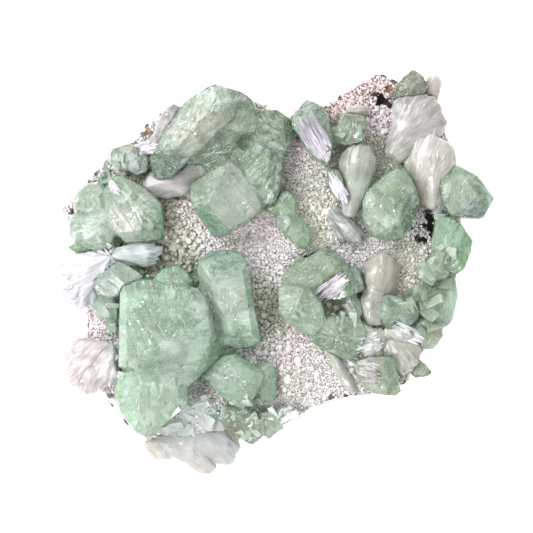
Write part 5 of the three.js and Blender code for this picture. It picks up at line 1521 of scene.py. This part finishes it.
# %% Bind the sheaves
SHEAF_SQUARE = 0.26 * MM
SMOOTH = ("middle_column", "pale_column", "cream_blade", "south_fan", "grey_band", "north_west_wedge")
SHEAF_TONE = {
    "south_west_fan": 0.8, "north_west_wedge": 0.74, "sparkling_tuft": 0.67, "grey_blades": 0.78,
    "middle_column": 1.04, "pale_column": 1.04, "cream_blade": 1, "north_east_point": 1.02, "grey_band": 0.94,
}
USUAL_TONE = 0.9
for number, (growth, (root, main, spread, curl, ragged, times)) in enumerate(SHEAVES.items()):
    node = f"stilbite_{growth}"
    piece = fine_copy(node, f"{growth}_sheaf", SHEAF_SQUARE)
    rounded(piece, times // 2)
    points, normals = corners_of(piece.data)
    points = widened(points, normals, growth)
    lie = fibres_of(points, root, main, spread, curl)
    tint = patch_colour(points, SHEAF_PATCHES[growth])
    tone = 0.05 * stripes(lie[:, 0] + 0.1 * lie[:, 1], 2.2 * MM, 800 + number)
    tone += 0.05 * stripes(lie[:, 0], 0.8 * MM, 850 + number)
    flank = 1 - np.clip(normals[:, 2], 0, 1)
    # Painted light: steep flanks are made up to 35 per cent brighter, against the shade that falls on them.
    tint *= SHEAF_TONE.get(growth, USUAL_TONE) * (1 + 0.35 * flank**2)[:, None]
    tint *= (1 + (0.15 + 0.6 * ragged) * tone * waves(points, 5 * MM, 870 + number))[:, None]
    move_corners(piece.data, combed(points, normals, lie, root, ragged, 700 + 10 * number))
    tinted(piece.data, tint)
    laid(piece.data, lie)
    piece.data.shade_smooth()
    settle(piece, stilbite_wax if growth in SMOOTH else stilbite_silk, [node])
print("sheaves:", len(SHEAVES))

# %% [markdown]
# ## Pieces: the loose blades
# Where a sheaf is ragged, single blades stand out from it: thin laths that lie along the fibres and run a
# little over the rim. Their roots are strewn over the sheaf, and each points away from the root of the
# fibres.

# %% Lay the loose blades


def lie_of_blades(count, each, rng):
    """Growth coordinates of single blades: each is somewhere across, and runs over a centimetre along."""
    along = np.tile(np.linspace(0, 0.01, each), count)
    return np.column_stack([np.repeat(rng.uniform(-1, 1, count), each), along])


for number, (growth, (root, *_, ragged, _)) in enumerate(SHEAVES.items()):
    rng = np.random.default_rng(70 + number)
    starts, ups = strewn(f"stilbite_{growth}", 0.14 * ragged / MM**2, rng, steepest=0.3)
    if len(starts) < 5:
        continue
    run = forwards(starts, root) + 0.12 * rng.normal(size=starts.shape)
    run -= ups * (run * ups).sum(axis=1, keepdims=True)
    length = rng.uniform(1.2, 3.2, len(starts)) * MM
    starts = starts + ups * rng.uniform(-0.1, 0.25, (len(starts), 1)) * MM
    widths, depths = rng.uniform(0.25, 0.8, len(starts)) * MM, rng.uniform(0.1, 0.22, len(starts)) * MM
    ups = ups + 0.35 * rng.normal(size=ups.shape)
    corners, faces, each = blades(starts, starts + run * length[:, None], ups, widths, depths)
    shade = np.repeat(rng.uniform(1, 1.25, len(starts)), each)
    tint = patch_colour(corners, SHEAF_PATCHES[growth]) * shade[:, None]
    lie = lie_of_blades(len(starts), each, rng)
    put_up(f"{growth}_blades", corners, faces, stilbite_silk, tint, lie, smooth=True)
    print(growth, len(starts), "loose blades")

# %% [markdown]
# ## Pieces: the glints
# A few cleaved faces are split into fine laths and throw the light back like foil. Their bright colour is a
# painted reflection. Each patch is filled with parallel laths, and those of one piece share a plane that is
# fitted to the surface below them. A patch is a middle, its length and width in millimetres, the direction of
# its laths in degrees, and a colour.

# %% Where the foils are
# Painted reflection: these pale colours stand for the light that the foils throw back.
LILAC, WHITE_MINT, ICE = (170, 166, 174), (216, 226, 218), (158, 160, 152)
GLINTS = {
    "north_prism_glint": [((11.4, 38.9), 14, 6.4, -57, LILAC), ((14.6, 34.8), 6, 3.4, -62, LILAC)],
    "short_prism_glint": [((17.6, 25), 8.5, 3.4, -60, LILAC), ((19.4, 22.2), 5, 2.4, -66, LILAC)],
    "centre_glint": [((16.2, -4.8), 10, 4.6, 36, LILAC)],
    "rosette_foil": [((38.2, -17.8), 8.5, 4, -24, WHITE_MINT)],
    "south_east_fan": [((26.6, -28), 6.5, 4.6, 155, ICE), ((28, -30.5), 5, 3, 170, ICE)],
    "west_foil": [((-46.6, 24.4), 4.6, 2.2, -52, LILAC)],
    "tuft_foil": [((-36.6, 36), 5.4, 4.6, 12, LILAC)],
    "south_foil": [((4.4, -42.4), 6.2, 2.6, 28, WHITE_MINT)],
    "rosette_roots": [((27, -21), 7, 5.4, 20, WHITE_MINT), ((27, -16.4), 5.6, 2, -66, WHITE_MINT)],
}
print("foils:", len(GLINTS))

# %% Lay the laths of the foils
FOIL_LIFT = 88  # per cent of the surface under a foil that it lies above
STEEPEST_FOIL = 0.6
OVERHANG = 2.5 * MM  # how far above the surface a lath may stand before it is cut off
ALONG = np.linspace(0, 1, 9)
NOWHERE = -1


def lath_ends(patches, rng):
    """Roots, tips and light of laths of random place in each patch: middle + along * direction + across * its
    left, in millimetres. They are shorter near the sides of the patch."""
    roots, tips, colours = [], [], []
    for middle, length, width, degrees, colour in patches:
        count = int(26 * width + length)
        forward = np.array([np.cos(np.radians(degrees)), np.sin(np.radians(degrees))])
        left = np.array([-forward[1], forward[0]])
        across = rng.uniform(-0.5, 0.5, count) * width
        centre = rng.uniform(-0.3, 0.3, count) * length
        reach = rng.uniform(0.3, 0.75, count) * length * (1 - (across / width) ** 2) / 2
        base = np.array(middle) + np.outer(across, left)
        roots.append(base + np.outer(centre - reach, forward))
        tips.append(base + np.outer(centre + reach, forward))
        colours.append(np.tile(light_of(colour), (count, 1)))
    return np.concatenate(roots), np.concatenate(tips), np.concatenate(colours)


def foil_plane(places):
    """The least squares plane of the surface under places in mm, no steeper than STEEPEST_FOIL, as two
    slopes and a height; and how far it has to rise to be over FOIL_LIFT per cent of that surface."""
    height = surface_at(places)[0][:, 2]
    found = np.isfinite(height)
    height, places = height[found], places[found]
    flat = np.column_stack([places, np.ones(len(places))])
    plane, *_ = np.linalg.lstsq(flat, height, rcond=None)
    plane[:2] *= min(1, STEEPEST_FOIL * MM / np.hypot(plane[0], plane[1]))
    plane[2] = height.mean() - places.mean(axis=0) @ plane[:2]
    return plane, np.percentile(height - flat @ plane, FOIL_LIFT)


def laths(patches, rng):
    """Laths on the plane of the foil. One with nothing so high below it sinks to what it touches, and one
    that sticks out over a gap ends there."""
    roots, tips, colours = lath_ends(patches, rng)
    plane, top = foil_plane(np.concatenate([roots, tips]))
    points = roots[:, None] + ALONG[:, None] * (tips - roots)[:, None]
    height = surface_at(points.reshape(-1, 2))[0][:, 2].reshape(len(roots), -1)
    rise = height - points @ plane[:2] - plane[2]
    rise[np.isnan(rise)] = NOWHERE
    level = np.minimum(top, rise.max(axis=1))
    held = (level[:, None] - rise < OVERHANG) & (level[:, None] > NOWHERE)
    first, last = ALONG[held.argmax(axis=1)], ALONG[len(ALONG) - 1 - held[:, ::-1].argmax(axis=1)]
    good = held.any(axis=1) & (last - first > 0.2)
    ends = []
    for part, lift in zip((first, last), rng.uniform(0, 0.35, (2, len(roots)))):
        places = roots + (tips - roots) * part[:, None]
        end = on_plate(places)
        end[:, 2] = places @ plane[:2] + plane[2] + level + (0.15 + lift) * MM
        ends.append(end[good])
    ups = np.array([-plane[0], -plane[1], MM]) / MM + 0.25 * rng.normal(size=(good.sum(), 3))
    widths, depths = rng.uniform(0.16, 0.42, good.sum()) * MM, rng.uniform(0.1, 0.25, good.sum()) * MM
    corners, faces, each = blades(*ends, ups, widths, depths)
    shade = np.repeat(colours[good] * rng.uniform(0.55, 1.25, (good.sum(), 1)), each, axis=0)
    return corners, faces, shade, lie_of_blades(good.sum(), each, rng)


for number, (name, patches) in enumerate(GLINTS.items()):
    corners, faces, shade, lie = laths(patches, np.random.default_rng(500 + number))
    put_up(name, corners, faces, pearly_glint_paint, shade, lie)
print("glints:", len(GLINTS))

# %% [markdown]
# ## Pieces: the sparks
# Where the rough faces throw back a point of light there is a tiny splinter or the edge of a ledge. These are
# short laths, strewn in the patches where the faces are rough, each lying on the surface below it. Their
# bright colour is a painted highlight.

# %% Strew the sparks
# Painted highlight: the bright colour of the sparks.
SPARK_HIGHLIGHT = (206, 216, 208)
SPARKS = [
    # place, reach, how many, length in mm, direction in degrees
    ((-22, -6.3), 2.2, 12, 1.0, -40), ((-37, -4), 5, 26, 0.9, 40), ((-30, -1), 4, 20, 0.9, -20),
    ((-26, 2), 3, 14, 0.8, 30), ((-12.5, -15), 2.4, 14, 1.1, -60), ((-15, -8), 4.5, 24, 1.2, -75),
    ((-43.5, -14), 3.5, 14, 1.0, 70), ((-15, -29.5), 4, 34, 0.9, 30), ((-11, -32), 3, 14, 0.8, -40),
    ((-42, -40), 4, 18, 1.6, 60), ((-31, -34), 4, 12, 1.0, 50), ((-46, -0.8), 1.8, 12, 0.9, 20),
    ((-43, 16), 5, 30, 1.6, 55), ((-50, 13), 5, 30, 1.4, 40), ((-40, 24), 3.5, 16, 2.2, -35),
    ((-52, 21), 3.5, 16, 1.2, 60), ((-55, 12), 4, 16, 1.2, 10), ((0, 25), 3, 22, 1.3, 55),
    ((-4, 32), 3, 16, 1.3, 55), ((3, 20), 2.5, 12, 1.2, 60), ((-11, 22), 5, 22, 1.3, 35),
    ((-19, 50.5), 3.5, 20, 1.6, 45), ((-24, 41), 3, 10, 1.8, 50), ((-28, 44), 4, 16, 2.2, 50),
    ((-14, 34), 4, 12, 1.8, 25), ((12, -11), 4, 12, 1.0, 60), ((19, -19), 4, 12, 0.9, 60),
    ((9, 0), 4, 14, 1.0, 20), ((45, 0), 3, 16, 1.4, 40), ((47.5, -2.2), 2.5, 12, 1.2, -50),
    ((46, -9), 4, 18, 1.4, 60), ((45, -14), 3.5, 12, 1.4, 15), ((31, 17), 4, 18, 1.0, 80),
    ((36, 22), 4, 10, 1.2, 60), ((55, 22), 4, 16, 1.2, 40), ((0.5, 30.5), 1.2, 7, 2.2, -75),
    ((-1, 25.5), 1.6, 9, 2.4, -110), ((-1.5, 21.5), 1.2, 7, 2, -105), ((-4, 33.8), 1.4, 6, 2, -20),
    ((31, 2), 4, 10, 3, 86), ((-20, 31), 5, 28, 3, 25), ((-31, 27), 4, 20, 2.4, 12),
    ((-42, 5.5), 4, 24, 2.4, 8), ((-55, -3), 5, 34, 2, 40), ((-50, -27), 5, 36, 2.4, 35),
    ((-29, -50), 5, 24, 3, -14), ((-17, -52), 4, 18, 2.6, -24), ((36, -21), 4, 24, 1.8, -40),
    ((20, -30), 3, 10, 2.4, -62), ((18, 14), 4, 20, 2.4, -50), ((50, 19), 2.5, 12, 0.9, 0),
    ((20, 41), 4, 16, 1.4, 80), ((-8, -41), 4, 18, 1.0, 30), ((1, -42), 4, 16, 1.2, 30),
    ((28, -27), 3.5, 12, 1.6, 150), ((-22, -43), 6, 30, 0.8, 20), ((50, 8), 3, 12, 1.6, 60),
    ((-33, 33), 3, 10, 1.0, 60),
]
middles, reaches, counts, lengths, degrees = (np.array(column) for column in zip(*SPARKS))
rng = np.random.default_rng(77)
places, normal, which = scattered(middles, reaches, counts, 0.25, rng)
places += normal * rng.uniform(0.12, 0.24, (len(which), 1)) * MM
turn = np.radians(degrees[which] + rng.normal(0, 14, len(which)))
run = np.column_stack([np.cos(turn), np.sin(turn), 0 * turn])
run -= normal * (run * normal).sum(axis=1, keepdims=True)
half = run * (lengths[which] * rng.uniform(0.3, 0.8, len(which)) * MM)[:, None]
widths, depths = rng.uniform(0.07, 0.2, len(which)) * MM, rng.uniform(0.05, 0.1, len(which)) * MM
ups = normal + 0.3 * rng.normal(size=normal.shape)
corners, faces, each = blades(places - half, places + half, ups, widths, depths)
shade = np.repeat(light_of(SPARK_HIGHLIGHT) * rng.uniform(0.6, 1.2, (len(which), 1)), each, axis=0)
put_up("sparks", corners, faces, pearly_glint_paint, shade, corners[:, :2])
print("sparks:", len(which))

# %% [markdown]
# ## Floor, light and camera
# The plate lies on a white table under soft light. A little glow in the table's own material keeps it white
# under the plate's soft shadow, as a light table does. One large lamp at the upper left models the shapes, a
# second one low at the left lights the striated faces that lean that way, and the world fills the rest.

# %% The floor
white_table, tree, shader, output = new_material("white table")
dialled(shader, {
    "Base Color": (0.9, 0.9, 0.9, 1), "Roughness": 0.9,
    "Emission Color": (1, 1, 1, 1), "Emission Strength": 0.7,
})
FLOOR_HALF = 3.0
sheet = bpy.data.meshes.new("floor")
edge = np.array([(-1, -1), (1, -1), (1, 1), (-1, 1)]) * FLOOR_HALF
sheet.from_pydata([(x, y, cad_low.z) for x, y in edge], [], [(0, 1, 2, 3)])
floor = bpy.data.objects.new("floor", sheet)
scene.collection.objects.link(floor)
floor.data.materials.append(white_table)
print("floor at a height of", round(cad_low.z / MM, 2), "mm")

# %% The light


def lamp(name, direction, away, size, power):
    """A square soft lamp in a direction from the plate, facing its middle."""
    light = bpy.data.lights.new(name, "AREA")
    light.energy, light.size = power, size
    holder = bpy.data.objects.new(name, light)
    direction = Vector(direction).normalized()
    holder.location = plate_middle + direction * away
    holder.rotation_mode = "QUATERNION"
    holder.rotation_quaternion = direction.to_track_quat("Z", "Y")
    scene.collection.objects.link(holder)
    return holder


lamp("window", (-0.75, 0.55, 0.85), 0.9, 0.5, 6.8)
lamp("glint_light", (-0.72, -0.49, 0.87), 0.9, 0.16, 4)
world = bpy.data.worlds.new("studio")
scene.world = world
world.use_nodes = True
dialled(world.node_tree.nodes["Background"], {"Color": (1, 1, 1, 1), "Strength": 1.02})
scene.view_settings.view_transform = "Standard"
print("lamps:", [light.name for light in bpy.data.lights])

# %% The camera, straight above
VIEW_WIDTH = 154.6 * MM
CAMERA_HEIGHT = 1.3
view = bpy.data.cameras.new("camera")
view.sensor_width = 36
view.lens = view.sensor_width * (CAMERA_HEIGHT - plate_middle.z) / VIEW_WIDTH
view.clip_start, view.clip_end = 0.01, 10
camera = bpy.data.objects.new("camera", view)
camera.location = on_plate([(-2.45, 1.55)])[0] + np.array((0, 0, CAMERA_HEIGHT))
scene.collection.objects.link(camera)
scene.camera = camera
print("lens in mm:", round(view.lens))
